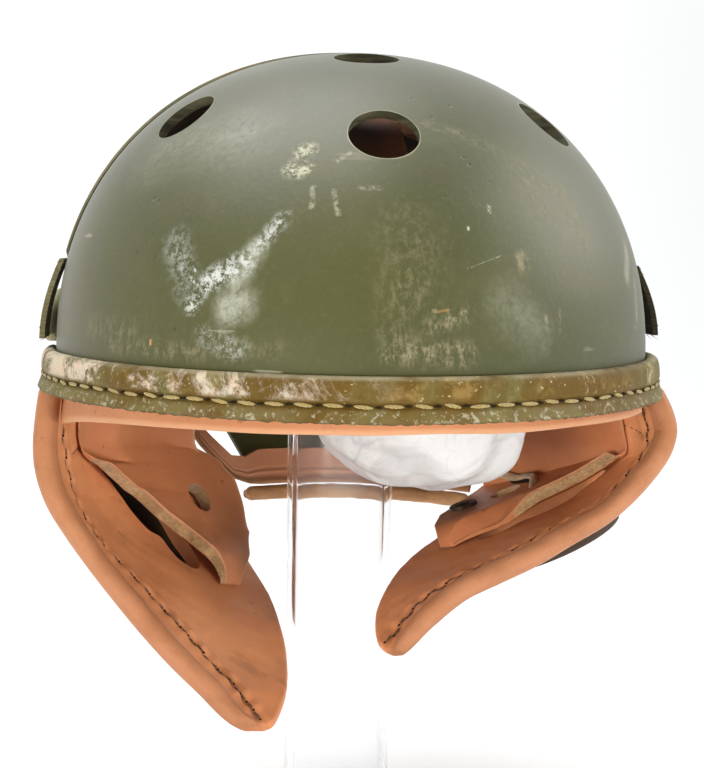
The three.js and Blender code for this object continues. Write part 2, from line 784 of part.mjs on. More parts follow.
// The leather cup outside the ear opening is scribed to the flap's outer face; its end is bored
function receiverCup(flap) {
  const face = -flapThickness / 2;
  const end = face - receiverHeight;
  const bore = receiverDiameter - 2 * receiverWall;
  const outside = flapBar(flap, receiverPlace, receiverDiameter, end, -face, 22);
  const inside = flapBar(flap, receiverPlace, bore, end + receiverWall, -face * 4, 22);
  const mouth = flapBar(flap, receiverPlace, receiverBore, end * 2, 0, 16);
  return cut(outside, [inside, mouth, flapSlab(flap, seatGap)]);
}

// The snap lies on the inner face of the pad, near its free corner
function flapSnap(flap) {
  const face = padFace(0.5, snapPlace.along) + padThickness + seatGap;
  return flapBar(flap, snapPlace, snapDiameter, face, face + snapHeight, 14);
}

// Strap over the crown, just behind its top, down to the side tabs
function crownStrap() {
  const stations = 32;
  const from = crownStrapBehind - crownStrapWidth / 2;
  const to = crownStrapBehind + crownStrapWidth / 2;
  const rings = Array.from({ length: stations + 1 }, (unused, step) => {
    const swing = Math.asin(crownStrapReach) * ((2 * step) / stations - 1);
    const corner = (y, lift) => crownAbove((crownHalfWidth + lift) * Math.sin(swing), y, lift);
    const under = curvedGap;
    const over = curvedGap + crownStrapThickness;
    return [
      corner(from, under), corner(crownStrapBehind, under), corner(to, under),
      corner(to, over), corner(crownStrapBehind, over), corner(from, over),
    ];
  });
  return skin(rings);
}

// Side tab: a short strap held at its top that stands off the crown further down
function goggleTab(side, proud) {
  const drops = [0, 0.12, 0.3, 0.6, 0.85, 1];
  const rings = drops.map((share) => {
    const height = tabTop - tabHeight * share;
    const rise = (1 - (height / crownHeight) ** profileRoundness) ** (1 / profileRoundness);
    const stand = seatGap + proud * Math.sin(share * rightTurn);
    const inner = side * (crownHalfWidth * rise + stand);
    const outer = inner + side * tabThickness;
    const back = crownStrapBehind - tabAhead;
    const front = back - tabWidth;
    return [
      point(inner, front, height),
      point(outer, front, height),
      point(outer, back, height),
      point(inner, back, height),
    ];
  });
  return skin(rings);
}

// Stand: a clear tube up to the underside of the cradle's rear strap, and a round base
function postTopHeight() {
  const rearOfPost = postBehind + postDiameter / 2;
  let low = 0;
  let high = cradleTopClimb;
  while (high - low > 1e-4) {
    const climb = (low + high) / 2;
    if (cradlePoint(rightTurn, climb, cradleThickness).y > rearOfPost) {
      low = climb;
    } else {
      high = climb;
    }
  }
  return cradlePoint(rightTurn, low, cradleThickness).z - curvedGap;
}

function standPost() {
  const outer = postDiameter / 2;
  const inner = outer - postWall;
  const low = baseThickness + seatGap;
  const high = rimHeight + postTopHeight();
  const profile = [[inner, low], [outer, low], [outer, high], [inner, high], [inner, low]];
  const geometry = new THREE.LatheGeometry(profile.map(([x, y]) => new THREE.Vector2(x, y)), 28);
  geometry.rotateX(rightTurn);
  geometry.translate(0, postBehind, 0);
  return geometry;
}

function standBase() {
  const edge = 1.2;
  const radius = baseDiameter / 2;
  const profile = [
    [0, 0], [radius - edge, 0], [radius, edge],
    [radius, baseThickness - edge], [radius - edge, baseThickness], [0, baseThickness],
  ];
  const geometry = new THREE.LatheGeometry(profile.map(([x, y]) => new THREE.Vector2(x, y)), 32);
  geometry.rotateX(rightTurn);
  return geometry;
}

// White paper crumpled against the front and side of the post
function paperWad() {
  const geometry = new THREE.SphereGeometry(1, 16, 10);
  geometry.rotateX(rightTurn);
  const place = geometry.attributes.position;
  for (let index = 0; index < place.count; index += 1) {
    const spot = point(0, 0, 0).fromBufferAttribute(place, index);
    const crumple = 1
      + 0.05 * Math.sin(5 * spot.x + 3 * spot.z) * Math.cos(4 * spot.y - 2 * spot.z)
      + 0.03 * Math.sin(9 * spot.y + 7 * spot.x);
    spot.multiplyScalar(wadRadius * crumple);
    place.setXYZ(index, spot.x, spot.y, spot.z * 0.8);
  }
  geometry.translate(wadBeside, -wadAhead, -wadDrop + wadRadius * 0.8);
  const upright = point(0, 0, 1);
  const post = bar(postDiameter + 2 * seatGap, rimHeight * 4, point(0, postBehind, 0), upright, 28);
  return cut(geometry, [post]);
}

// Assembly

const model = new THREE.Group();
const helmet = new THREE.Group();
helmet.position.set(0, 0, rimHeight);
model.add(helmet);

function addPiece(group, name, geometry, color, roughness, options = {}) {
  const material = new THREE.MeshStandardMaterial({ color, roughness, metalness: 0, ...options });
  const mesh = new THREE.Mesh(geometry, material);
  mesh.name = name;
  group.add(mesh);
}

const olivePaint = '#4d5239';
const oliveLeather = '#6b6532';
const guardOlive = '#4a4f30';
const russet = '#c27a52';
const tanLeather = '#b98a52';
const darkBrown = '#3a2a1e';
const clear = { transparent: true, opacity: 0.35 };

addPiece(helmet, 'crown_shell', crownShell(), olivePaint, 0.6);
addPiece(helmet, 'brow_roll', browRoll(), oliveLeather, 0.55);
addPiece(helmet, 'brow_lining', browLining(), russet, 0.6);
addPiece(helmet, 'cradle', cradle(), russet, 0.65);
addPiece(helmet, 'neck_guard', neckGuard(), guardOlive, 0.65);
addPiece(helmet, 'neck_guard_binding', guardBinding(), oliveLeather, 0.55);
addPiece(helmet, 'neck_lining', neckLining(), russet, 0.6);
addPiece(helmet, 'neck_edge', neckEdge(), tanLeather, 0.55);
addPiece(helmet, 'crown_strap', crownStrap(), oliveLeather, 0.6);
addPiece(helmet, 'goggle_tab_right', goggleTab(-1, tabProudRight), oliveLeather, 0.65);
addPiece(helmet, 'goggle_tab_left', goggleTab(1, tabProudLeft), oliveLeather, 0.65);
[wearersRight, wearersLeft].forEach((flap) => {
  const side = flap.side < 0 ? 'right' : 'left';
  addPiece(helmet, `ear_flap_${side}`, earFlap(flap), russet, 0.55);
  addPiece(helmet, `ear_pad_${side}`, earPad(flap), russet, 0.6);
  addPiece(helmet, `receiver_cup_${side}`, receiverCup(flap), darkBrown, 0.6);
});
addPiece(helmet, 'flap_snap', flapSnap(wearersLeft), darkBrown, 0.4);
addPiece(helmet, 'paper_wad', paperWad(), '#f2f2f0', 0.9);
addPiece(model, 'stand_post', standPost(), '#f4f7f8', 0.1, clear);
addPiece(model, 'stand_base', standBase(), '#f4f7f8', 0.1, clear);

export default model;
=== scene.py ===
"""Tanker helmet of olive fibre with russet leather ear flaps, resting on a clear stand.

Shapes are worked out in millimetres from the middle of the crown's rim, +Z up, and the
front of the helmet faces -Y. Meshes are built in metres above the floor.
"""

import math

import bmesh
import bpy
import numpy as np
from mathutils import Matrix, Vector


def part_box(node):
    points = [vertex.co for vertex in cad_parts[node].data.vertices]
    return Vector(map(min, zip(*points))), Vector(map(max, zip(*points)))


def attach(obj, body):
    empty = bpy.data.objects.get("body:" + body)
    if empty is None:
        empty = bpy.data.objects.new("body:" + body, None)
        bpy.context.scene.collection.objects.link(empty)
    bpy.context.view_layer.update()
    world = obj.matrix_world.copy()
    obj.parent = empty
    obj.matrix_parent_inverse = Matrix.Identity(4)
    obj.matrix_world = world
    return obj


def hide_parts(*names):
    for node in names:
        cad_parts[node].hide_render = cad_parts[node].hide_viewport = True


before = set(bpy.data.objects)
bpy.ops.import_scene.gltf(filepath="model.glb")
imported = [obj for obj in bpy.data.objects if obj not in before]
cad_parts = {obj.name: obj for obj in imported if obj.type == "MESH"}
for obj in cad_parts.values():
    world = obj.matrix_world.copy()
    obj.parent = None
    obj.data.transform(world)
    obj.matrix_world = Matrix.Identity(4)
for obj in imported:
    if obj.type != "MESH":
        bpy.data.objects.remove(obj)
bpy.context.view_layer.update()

# Sizes of the crown
HALF_WIDTH = 109.0
FRONT_REACH = 125.0
BACK_REACH = 129.0
CROWN_HEIGHT = 109.0
CROWN_WALL = 3.2
PLAN_POWER = 1.9
PROFILE_POWER = 2.15
VENT_DIAMETER = 22.7
RIM_HEIGHT = 200.0

# Sizes of the trim, the lining and the cradle
FLANGE_DROP = 12.8
LINING_THICKNESS = 2.0
LINING_DROP = 17.3
LINING_DROP_RIGHT = 25.0
LINING_DROP_LEFT = 19.5
LINING_INSET = CROWN_WALL + 2.8
CRADLE_INSET = LINING_INSET + LINING_THICKNESS + 1.6
CRADLE_HANG = 15.0
CRADLE_TOP = math.radians(76)

# Sizes of the guard and of the flaps
GUARD_WALL = 3.0
GUARD_RISE = 22.0
GUARD_DROP = 67.5
GUARD_TUCK = 17.0
GUARD_SWEEP = 80.0
BINDING_DIAMETER = 7.0
NECK_BAND_THICKNESS = 2.0
NECK_ROLL_DIAMETER = 6.6
FLAP_DROP = 132.0
FLAP_THICKNESS = 6.0
BEAD_THICKNESS = 8.4
PAD_THICKNESS = 6.0
PAD_STANDOFF = 1.6
PAD_LIFT = 4.0
PAD_HOLE = 13.33
CUP_DIAMETER = 58.0
CUP_HEIGHT = 8.0
CUP_WALL = 3.0
CUP_BORE = 26.0

# Sizes of the straps, the stand and the tissue; places are measured from the base's middle
STRAP_FRONT = 3.0
STRAP_BACK = 27.0
STRAP_THICKNESS = 1.2
TAB_TOP = 33.0
TAB_WIDTH = 22.0
TAB_THICKNESS = 1.9
POST_PLACE = (0, 35)
POST_BORE = 35.0
POST_DIAMETER = 42.0
BASE_DIAMETER = 160.0
BASE_THICKNESS = 8.0
WAD_RADIUS = 42.0
WAD_SQUASH = 0.8
WAD_PLACE = (26, -10, -52)

GAP = 0.3
CURVED_GAP = 0.8
DRILL_DEPTH = 24.0
QUARTER = math.pi / 2


def table(columns, *rows):
    """A short table: its column names, then its rows."""
    return [dict(zip(columns.split(), row)) for row in rows]


# Curves and surfaces


def power(value, exponent):
    return np.sign(value) * np.abs(value) ** exponent


def stack(x, y, z):
    return np.stack(np.broadcast_arrays(x, y, z), -1).astype(float)


def smoothstep(value, low, high):
    share = np.clip((np.asarray(value, float) - low) / (high - low), 0, 1)
    return share * share * (3 - 2 * share)


def tapered(count, steps):
    """1 along a row of places, easing to 0 over a few steps at both ends."""
    place = np.arange(count)
    return np.minimum(smoothstep(place, 0, steps), smoothstep(count - 1 - place, 0, steps))


def unit(vectors):
    return vectors / np.maximum(np.linalg.norm(vectors, axis=-1, keepdims=True), 1e-9)


def rim_point(turn, outset, height):
    """The rim's outline moved outward; turn 0 is +X and a quarter turn is +Y."""
    reach = np.where(np.sin(turn) < 0, FRONT_REACH, BACK_REACH)
    x = power(np.cos(turn), 2 / PLAN_POWER) * (HALF_WIDTH + outset)
    y = power(np.sin(turn), 2 / PLAN_POWER) * (reach + outset)
    return stack(x, y, height)


def crown_point(turn, climb, inset):
    shrink = np.cos(climb) ** (2 / PROFILE_POWER)
    rise = np.sin(climb) ** (2 / PROFILE_POWER)
    rim = rim_point(turn, -inset, 0)
    return stack(rim[..., 0] * shrink, rim[..., 1] * shrink, (CROWN_HEIGHT - inset) * rise)


def crown_above(x, y, lift):
    reach = np.where(np.asarray(y) < 0, FRONT_REACH, BACK_REACH) + lift
    across = np.abs(x) / (HALF_WIDTH + lift)
    outline = (across**PLAN_POWER + (np.abs(y) / reach) ** PLAN_POWER) ** (1 / PLAN_POWER)
    rise = np.maximum(0, 1 - outline**PROFILE_POWER) ** (1 / PROFILE_POWER)
    return stack(x, y, (CROWN_HEIGHT + lift) * rise)


def crown_normal(points):
    """Square to the crown's outer surface, softened where the outline crosses its axes."""
    x, y, z = points[..., 0], points[..., 1], np.maximum(points[..., 2], 0)
    reach = np.where(y < 0, FRONT_REACH, BACK_REACH)
    across = x / HALF_WIDTH
    along = y / reach
    plan = np.abs(across) ** PLAN_POWER + np.abs(along) ** PLAN_POWER
    spread = np.maximum(plan, 1e-6) ** (PROFILE_POWER / PLAN_POWER - 1)
    soft_across = across * (across**2 + 0.004) ** ((PLAN_POWER - 2) / 2)
    soft_along = along * (along**2 + 0.004) ** ((PLAN_POWER - 2) / 2)
    up = (z / CROWN_HEIGHT) ** (PROFILE_POWER - 1) / CROWN_HEIGHT
    return unit(stack(spread * soft_across / HALF_WIDTH, spread * soft_along / reach, up))


def ripple(points, wavelength, seed, count=7):
    """A smooth random height from about -1 to 1 with roughly that wavelength."""
    chance = np.random.default_rng(seed)
    total = np.zeros(points.shape[:-1])
    for _ in range(count):
        way = unit(chance.normal(size=3))
        pace = 2 * math.pi / (wavelength * chance.uniform(0.7, 1.5))
        total += np.sin(points @ way * pace + chance.uniform(0, 2 * math.pi))
    return total / math.sqrt(count) / 1.4


def through(points, shares):
    """A smooth curve through points, at shares from 0 to 1 of the way along its points."""
    points = np.asarray(points, float)
    ends = [2 * points[0] - points[1], 2 * points[-1] - points[-2]]
    padded = np.vstack([ends[0], points, ends[1]])
    place = np.clip(np.asarray(shares, float), 0, 1) * (len(points) - 1)
    left = np.minimum(place.astype(int), len(points) - 2)
    step = (place - left)[..., None]
    a, b, c, d = (padded[left + offset] for offset in range(4))
    first = np.maximum(np.linalg.norm(b - a, axis=-1, keepdims=True) ** 0.5, 1e-4)
    middle = np.maximum(np.linalg.norm(c - b, axis=-1, keepdims=True) ** 0.5, 1e-4)
    last = np.maximum(np.linalg.norm(d - c, axis=-1, keepdims=True) ** 0.5, 1e-4)
    leave = ((b - a) / first - (c - a) / (first + middle) + (c - b) / middle) * middle
    arrive = ((c - b) / middle - (d - b) / (middle + last) + (d - c) / last) * middle
    square = -3 * b + 3 * c - 2 * leave - arrive
    cube = 2 * b - 2 * c + leave + arrive
    return b + leave * step + square * step**2 + cube * step**3


def nearest(points, path):
    """Distance from each point to a path, and the length along the path there."""
    flat = points.reshape(-1, 3)
    lengths = np.concatenate([[0], np.cumsum(np.linalg.norm(np.diff(path, axis=0), axis=1))])
    best = np.full(len(flat), 1e9)
    where = np.zeros(len(flat))
    for start in range(0, len(flat), 4000):
        block = flat[start : start + 4000]
        gaps = np.linalg.norm(block[:, None] - path[None], axis=-1)
        index = gaps.argmin(1)
        best[start : start + 4000] = gaps[np.arange(len(block)), index]
        where[start : start + 4000] = lengths[index]
    return best.reshape(points.shape[:-1]), where.reshape(points.shape[:-1])


# Meshes


def grid_faces(rows, columns, wrap_rows=False, wrap_columns=True):
    """Quads of a grid of points numbered row by row, with their places in the grid."""
    row, column = np.meshgrid(
        np.arange(rows if wrap_rows else rows - 1),
        np.arange(columns if wrap_columns else columns - 1),
        indexing="ij",
    )
    next_row = (row + 1) % rows
    next_column = (column + 1) % columns
    quads = np.stack(
        [
            row * columns + column,
            row * columns + next_column,
            next_row * columns + next_column,
            next_row * columns + column,
        ],
        -1,
    ).reshape(-1, 4)
    across = np.stack([column, column + 1, column + 1, column], -1) / columns
    down = np.stack([row, row, row + 1, row + 1], -1) / max(rows - 1, 1)
    places = np.stack([across, down], -1).reshape(-1, 2)
    return quads, places


def end_faces(rows, columns):
    """Quads that close both ends of a swept section, joining points that face each other."""
    quads = []
    for start in (0, (rows - 1) * columns):
        for index in range(columns // 2 - 1):
            other = columns - 1 - index
            quad = [start + index, start + index + 1, start + other - 1, start + other]
            quads.append(quad if start == 0 else quad[::-1])
    return np.array(quads).reshape(-1, 4)


def linked(name, data):
    """A new object in the scene."""
    piece = bpy.data.objects.new(name, data)
    bpy.context.scene.collection.objects.link(piece)
    return piece


def lifted(points):
    """Millimetres from the rim become metres above the floor."""
    return (np.asarray(points) + [0, 0, RIM_HEIGHT]) / 1000


def build(name, points, quads, places=None, values=None):
    """A mesh object from points in millimetres, facing outward."""
    points = points.reshape(-1, 3)
    a, b, c, d = (points[quads[:, corner]] for corner in range(4))
    volume = np.einsum("ij,ij->i", a, np.cross(b, c) + np.cross(c, d)).sum()
    corners = np.arange(len(quads) * 4).reshape(-1, 4)
    if volume < 0:
        quads = quads[:, ::-1]
        corners = corners[:, ::-1]
    mesh = bpy.data.meshes.new(name)
    mesh.vertices.add(len(points))
    mesh.vertices.foreach_set("co", lifted(points).ravel())
    mesh.loops.add(quads.size)
    mesh.loops.foreach_set("vertex_index", quads.ravel())
    mesh.polygons.add(len(quads))
    mesh.polygons.foreach_set("loop_start", np.arange(len(quads)) * 4)
    if places is not None:
        full = np.zeros((quads.size, 2))
        full[: len(places)] = places
        layer = mesh.uv_layers.new(name="UVMap")
        layer.data.foreach_set("uv", full[corners.ravel()].ravel())
    for label, numbers in (values or {}).items():
        attribute = mesh.attributes.new(label, "FLOAT", "POINT")
        attribute.data.foreach_set("value", np.asarray(numbers, float).ravel())
    mesh.update(calc_edges=True)
    mesh.validate()
    mesh.shade_smooth()
    return linked(name, mesh)


def russet_values(shape, raw_edge=0.0, seam=0.0, stretched=0.0, shade=0.0):
    """What the russet leathers read at each point of a piece."""
    given = {"raw_edge": raw_edge, "seam": seam, "stretched": stretched, "shade": shade}
    return {label: np.broadcast_to(numbers, shape) for label, numbers in given.items()}


def swept(name, rings, closed=False, values=None):
    """A body skinned over rings of points."""
    rows, columns = rings.shape[:2]
    quads, places = grid_faces(rows, columns, wrap_rows=closed)
    if not closed:
        quads = np.vstack([quads, end_faces(rows, columns)])
    return build(name, rings, quads, places, values)


def tube_rings(path, outward, radii, sides=20):
    """Round rings along a path whose outward side is given, for a cord, roll or binding."""
    tangent = unit(np.gradient(path, axis=0))
    side = unit(np.cross(tangent, outward))
    up = np.cross(side, tangent)
    angle = np.linspace(0, 2 * math.pi, sides, endpoint=False)
    circle = np.cos(angle)[None, :, None] * up[:, None] + np.sin(angle)[None, :, None] * side[:, None]
    radii = np.broadcast_to(np.asarray(radii, float), (len(path),))
    return path[:, None] + circle * radii[:, None, None]


def sharpen(piece, angle):
    """Marks edges sharper than an angle, so that only they look hard."""
    work = bmesh.new()
    work.from_mesh(piece.data)
    for edge in work.edges:
        if len(edge.link_faces) == 2 and edge.calc_face_angle(0) > math.radians(angle):
            edge.smooth = False
    work.to_mesh(piece.data)
    work.free()


def drill(name, spots, diameter, sides, materials):
    """Straight drills through places, each along its axis; they leave the last material."""
    work = bmesh.new()
    for middle, axis in spots:
        way = Vector(axis).to_track_quat("Z", "Y").to_matrix().to_4x4()
        bmesh.ops.create_cone(
            work,
            cap_ends=True,
            segments=sides,
            radius1=diameter / 2000,
            radius2=diameter / 2000,
            depth=DRILL_DEPTH / 1000,
            matrix=Matrix.Translation(lifted(middle)) @ way,
        )
    mesh = bpy.data.meshes.new(name)
    work.to_mesh(mesh)
    work.free()
    for label in materials:
        mesh.materials.append(finishes[label])
    mesh.polygons.foreach_set("material_index", [len(materials) - 1] * len(mesh.polygons))
    return linked(name, mesh)


def settle(piece):
    """Turns a piece and its modifiers into a plain mesh."""
    graph = bpy.context.evaluated_depsgraph_get()
    settled = bpy.data.meshes.new_from_object(piece.evaluated_get(graph))
    piece.modifiers.clear()
    piece.data = settled
    settled.name = piece.name


def cut_away(piece, tool):
    """Takes a closed tool mesh out of a piece."""
    change = piece.modifiers.new("cut", "BOOLEAN")
    change.operation = "DIFFERENCE"
    change.solver = "EXACT"
    change.object = tool
    settle(piece)
    bpy.data.objects.remove(tool)


# Materials


class Value:
    """A number or colour in a material; sums and products with it add nodes."""

    def __init__(self, tree, socket):
        self.tree = tree
        self.socket = socket

    def _join(self, operation, *inputs, clamp=False):
        node = self.tree.nodes.new("ShaderNodeMath")
        node.operation = operation
        node.use_clamp = clamp
        for place, given in enumerate(inputs):
            if isinstance(given, Value):
                self.tree.links.new(given.socket, node.inputs[place])
            else:
                node.inputs[place].default_value = given
        return Value(self.tree, node.outputs[0])

    def __add__(self, other):
        return self._join("ADD", self, other)

    __radd__ = __add__

    def __sub__(self, other):
        return self._join("SUBTRACT", self, other)

    def __mul__(self, other):
        return self._join("MULTIPLY", self, other)

    __rmul__ = __mul__

    def clamped(self):
        return self._join("ADD", self, 0.0, clamp=True)

    def sine(self):
        return self._join("SINE", self)

    def absolute(self):
        return self._join("ABSOLUTE", self)

    def larger(self, other):
        return self._join("MAXIMUM", self, other)

    def smaller(self, other):
        return self._join("MINIMUM", self, other)


class Finish:
    """A material under construction, around one Principled surface."""

    def __init__(self, name, **fixed):
        self.material = bpy.data.materials.new(name)
        self.material.use_nodes = True
        self.tree = self.material.node_tree
        self.surface = self.tree.nodes["Principled BSDF"]
        self.where = self.node("ShaderNodeTexCoord", output=3)
        for label, number in fixed.items():
            self.surface.inputs[label.replace("_", " ")].default_value = number

    def node(self, kind, settings=None, values=None, output=0):
        node = self.tree.nodes.new(kind)
        for label, setting in (settings or {}).items():
            setattr(node, label, setting)
        for place, given in (values or {}).items():
            if isinstance(given, Value):
                self.tree.links.new(given.socket, node.inputs[place])
            else:
                node.inputs[place].default_value = given
        return Value(self.tree, node.outputs[output])

    def parts(self, vector):
        node = self.tree.nodes.new("ShaderNodeSeparateXYZ")
        self.tree.links.new(vector.socket, node.inputs[0])
        return [Value(self.tree, output) for output in node.outputs]

    def vectors(self, operation, first, second, output=0):
        return self.node("ShaderNodeVectorMath", {"operation": operation}, {0: first, 1: second}, output)

    def length(self, vector):
        return self.node("ShaderNodeVectorMath", {"operation": "LENGTH"}, {0: vector}, 1)

    def stretched(self, *scale):
        """The place on the piece with its axes scaled, so that a pattern is drawn out."""
        return self.vectors("MULTIPLY", self.where, scale)

    def value(self, label):
        settings = {"attribute_type": "GEOMETRY", "attribute_name": label}
        return self.node("ShaderNodeAttribute", settings, output=2)

    def noise(self, scale, detail=4.0, rough=0.55, vector=None, twist=0.0):
        values = {
            "Vector": vector or self.where,
            "Scale": scale,
            "Detail": detail,
            "Roughness": rough,
            "Distortion": twist,
        }
        return self.node("ShaderNodeTexNoise", {}, values)

    def cells(self, scale, vector=None, feature="F1"):
        values = {"Vector": vector or self.where, "Scale": scale}
        return self.node("ShaderNodeTexVoronoi", {"feature": feature}, values)

    def between(self, value, low, high):
        """0 under low and 1 over high, or the other way round where low is the larger."""
        values = {0: value, 1: low, 2: high, 3: 0.0, 4: 1.0}
        if low > high:
            values = {0: value, 1: high, 2: low, 3: 1.0, 4: 0.0}
        return self.node("ShaderNodeMapRange", {"interpolation_type": "SMOOTHSTEP"}, values)

    def mix(self, share, first, second):
        def colour(given):
            return given if isinstance(given, Value) else (*given, 1.0)

        values = {0: share, 6: colour(first), 7: colour(second)}
        return self.node("ShaderNodeMix", {"data_type": "RGBA"}, values, output=2)

    def stroke(self, start, end, wide, ragged):
        """1 along a stroke between two places in millimetres, ragged toward its half width."""
        begin = lifted(start)
        along = (np.asarray(end) - np.asarray(start)) / 1000
        share = list(along / max(along @ along, 1e-9))
        away = self.vectors("SUBTRACT", self.where, list(begin))
        there = self.vectors("DOT_PRODUCT", away, share, 1)
        moved = self.node(
            "ShaderNodeVectorMath", {"operation": "SCALE"}, {0: list(along), "Scale": there.clamped()}
        )
        reach = self.length(self.vectors("SUBTRACT", away, moved))
        wide = wide / 1000
        return self.between(reach + (ragged - 0.5) * (1.6 * wide), wide, 0.2 * wide)

    def finish(self, colour, rough, height=None, depth=0.001, strength=1.0, coat=None):
        inputs = self.surface.inputs
        if isinstance(colour, Value):
            self.tree.links.new(colour.socket, inputs["Base Color"])
        if isinstance(rough, Value):
            self.tree.links.new(rough.socket, inputs["Roughness"])
        else:
            inputs["Roughness"].default_value = rough
        if coat is not None:
            self.tree.links.new(coat.socket, inputs["Coat Weight"])
        if height is not None:
            values = {"Strength": strength, "Distance": depth, "Height": height}
            bump = self.node("ShaderNodeBump", {}, values)
            self.tree.links.new(bump.socket, inputs["Normal"])
        return self.material


# Wear marks on the crown, and a painted sheen: the two broadest pale strokes, high on the
# wearer's right and low on the wearer's left, are a painted highlight. Each is a stroke between
# two places, given in degrees from the front toward the wearer's left and in millimetres above
# the rim, with its half width in millimetres and how strongly it shows
WEAR_AND_SHEEN = table(
    "kind turn height wide shown",
    ("cream", (-18, -17), (68, 69), 2.6, 1.8), ("cream", (-20, -20), (62, 63), 2.0, 1.4),
    ("cream", (-18, -17), (62, 63), 2.2, 1.6), ("cream", (-15, -15), (57, 51), 1.4, 0.5),
    ("cream", (-11, -10), (56, 49), 1.4, 0.45), ("cream", (-11, -8), (65, 68), 1.4, 0.35),
    ("cream", (-6, -2), (57, 57), 1.4, 0.3), ("cream", (20, 20), (52, 50.5), 1.2, 1.2),
    ("cream", (15, 15), (45, 45.5), 0.9, 1.2), ("silver", (-26, -32), (34, 28), 3.2, 1.5),
    ("silver", (-33, -35), (25, 20), 2.2, 1.2), ("silver", (-36, -33), (29, 25), 0.7, 0.8),
    ("silver", (-36, -35), (33, 31), 0.6, 0.8), ("silver", (-40, -36), (39, 25), 5.0, 0.35),
    ("silver", (-20, -24), (47, 38), 2.4, 0.8), ("silver", (-32, -26), (11, 7), 3.4, 0.4),
    ("silver", (14, 21), (33, 37), 0.4, 0.3), ("pale", (-24, -27), (38, 27), 3.4, 1.0),
    ("pale", (-28, -26), (20, 21), 5.0, 1.3), ("pale", (21, 26), (22, 14), 7.5, 0.32),
    ("pale", (-54, -34), (70, 74), 13.0, 0.3), ("pale", (62, 57), (40, 30), 2.4, 0.8),
    ("pale", (62, 60), (28, 16), 1.6, 0.6), ("tan", (3, 2), (45, 23), 8.0, 0.42),
    ("tan", (6, 5), (41, 21), 7.0, 0.4), ("tan", (7, 13), (16, 19), 2.8, 1.2),
    ("tan", (0, 13), (8, 7), 3.4, 1.5), ("tan", (0, 4), (14, 9), 5.0, 0.6),
    ("tan", (6, 9), (20, 20.5), 1.0, 0.8), ("tan", (31, 33), (64, 53), 7.0, 0.45),
    ("tan", (39, 41), (58, 46), 7.0, 0.7), ("tan", (35, 39), (61, 55), 6.0, 0.5),
    ("tan", (25, 25), (36, 34), 2.6, 1.5), ("tan", (29, 29), (18, 14), 1.3, 0.9),
    ("tan", (32, 32), (20, 13), 1.3, 0.9), ("tan", (-60, -48), (12, 11), 4.0, 0.5),
    ("tan", (-53, -33), (6, 6), 3.0, 0.8), ("tan", (-30, -19), (8, 8), 3.0, 0.45),
    ("tan", (11, 26), (78, 71), 2.4, 0.65), ("chip", (-43, -43), (8.6, 7.4), 0.8, 0.7),
    ("chip", (8, 10), (20, 20.5), 0.5, 0.25), ("dark", (-49, -49), (36, 36.5), 0.9, 0.8),
    ("dark", (-47, -47), (39, 39.5), 0.7, 0.8), ("dark", (-46, -46), (42, 42.5), 0.7, 0.7),
)

# Strokes at least this wide are painted point by point, and finer ones by the material
SMALLEST_BROAD_STROKE = 1.5

VENTS = table(
    "across along",
    (0.0, -0.76), (0.0, -0.33), (-0.571, -0.368), (0.571, -0.368), (-0.571, 0.37), (0.571, 0.37),
    (0.0, 0.36), (0.0, 0.76),
)


def vent_places():
    """The middle and the axis of each vent."""
    found = []
    for vent in VENTS:
        reach = FRONT_REACH if vent["along"] < 0 else BACK_REACH
        middle = crown_above(vent["across"] * HALF_WIDTH, vent["along"] * reach, 0.0)
        found.append((middle, crown_normal(middle)))
    return found


def crown_spot(turn, height):
    """A place on the crown, from degrees round from its front and the height over the rim."""
    climb = math.asin((height / CROWN_HEIGHT) ** (PROFILE_POWER / 2))
    return crown_point(math.radians(turn) - QUARTER, climb, 0.0)


def stroke_ends(row):
    return [crown_spot(*place) for place in zip(row["turn"], row["height"])]


def broad_wear(points):
    """How strongly each kind of broad stroke shows at points of the crown."""
    shown = {f"{kind}_wear": np.zeros(len(points)) for kind in ("cream", "silver", "pale", "tan")}
    for row in WEAR_AND_SHEEN:
        if row["wide"] >= SMALLEST_BROAD_STROKE:
            start, end = stroke_ends(row)
            along = end - start
            share = np.clip((points - start) @ along / max(along @ along, 1e-9), 0, 1)
            reach = np.linalg.norm(points - start - share[:, None] * along, axis=1)
            strength = row["shown"] * np.clip(1 - reach / (1.5 * row["wide"]), 0, 1)
            label = f"{row['kind']}_wear"
            shown[label] = np.maximum(shown[label], strength)
    return shown


def marks(paint, kind, texture, ragged):
    """One kind of wear, its strokes broken up by a texture; the pale kind also holds painted sheen."""
    total = (paint.value(f"{kind}_wear") * (ragged * 3.0 - 0.5)).clamped()
    for row in WEAR_AND_SHEEN:
        if row["kind"] == kind and row["wide"] < SMALLEST_BROAD_STROKE:
            stroke = paint.stroke(*stroke_ends(row), row["wide"], ragged) * row["shown"]
            total = total.larger(stroke)
    return (total * texture).clamped()


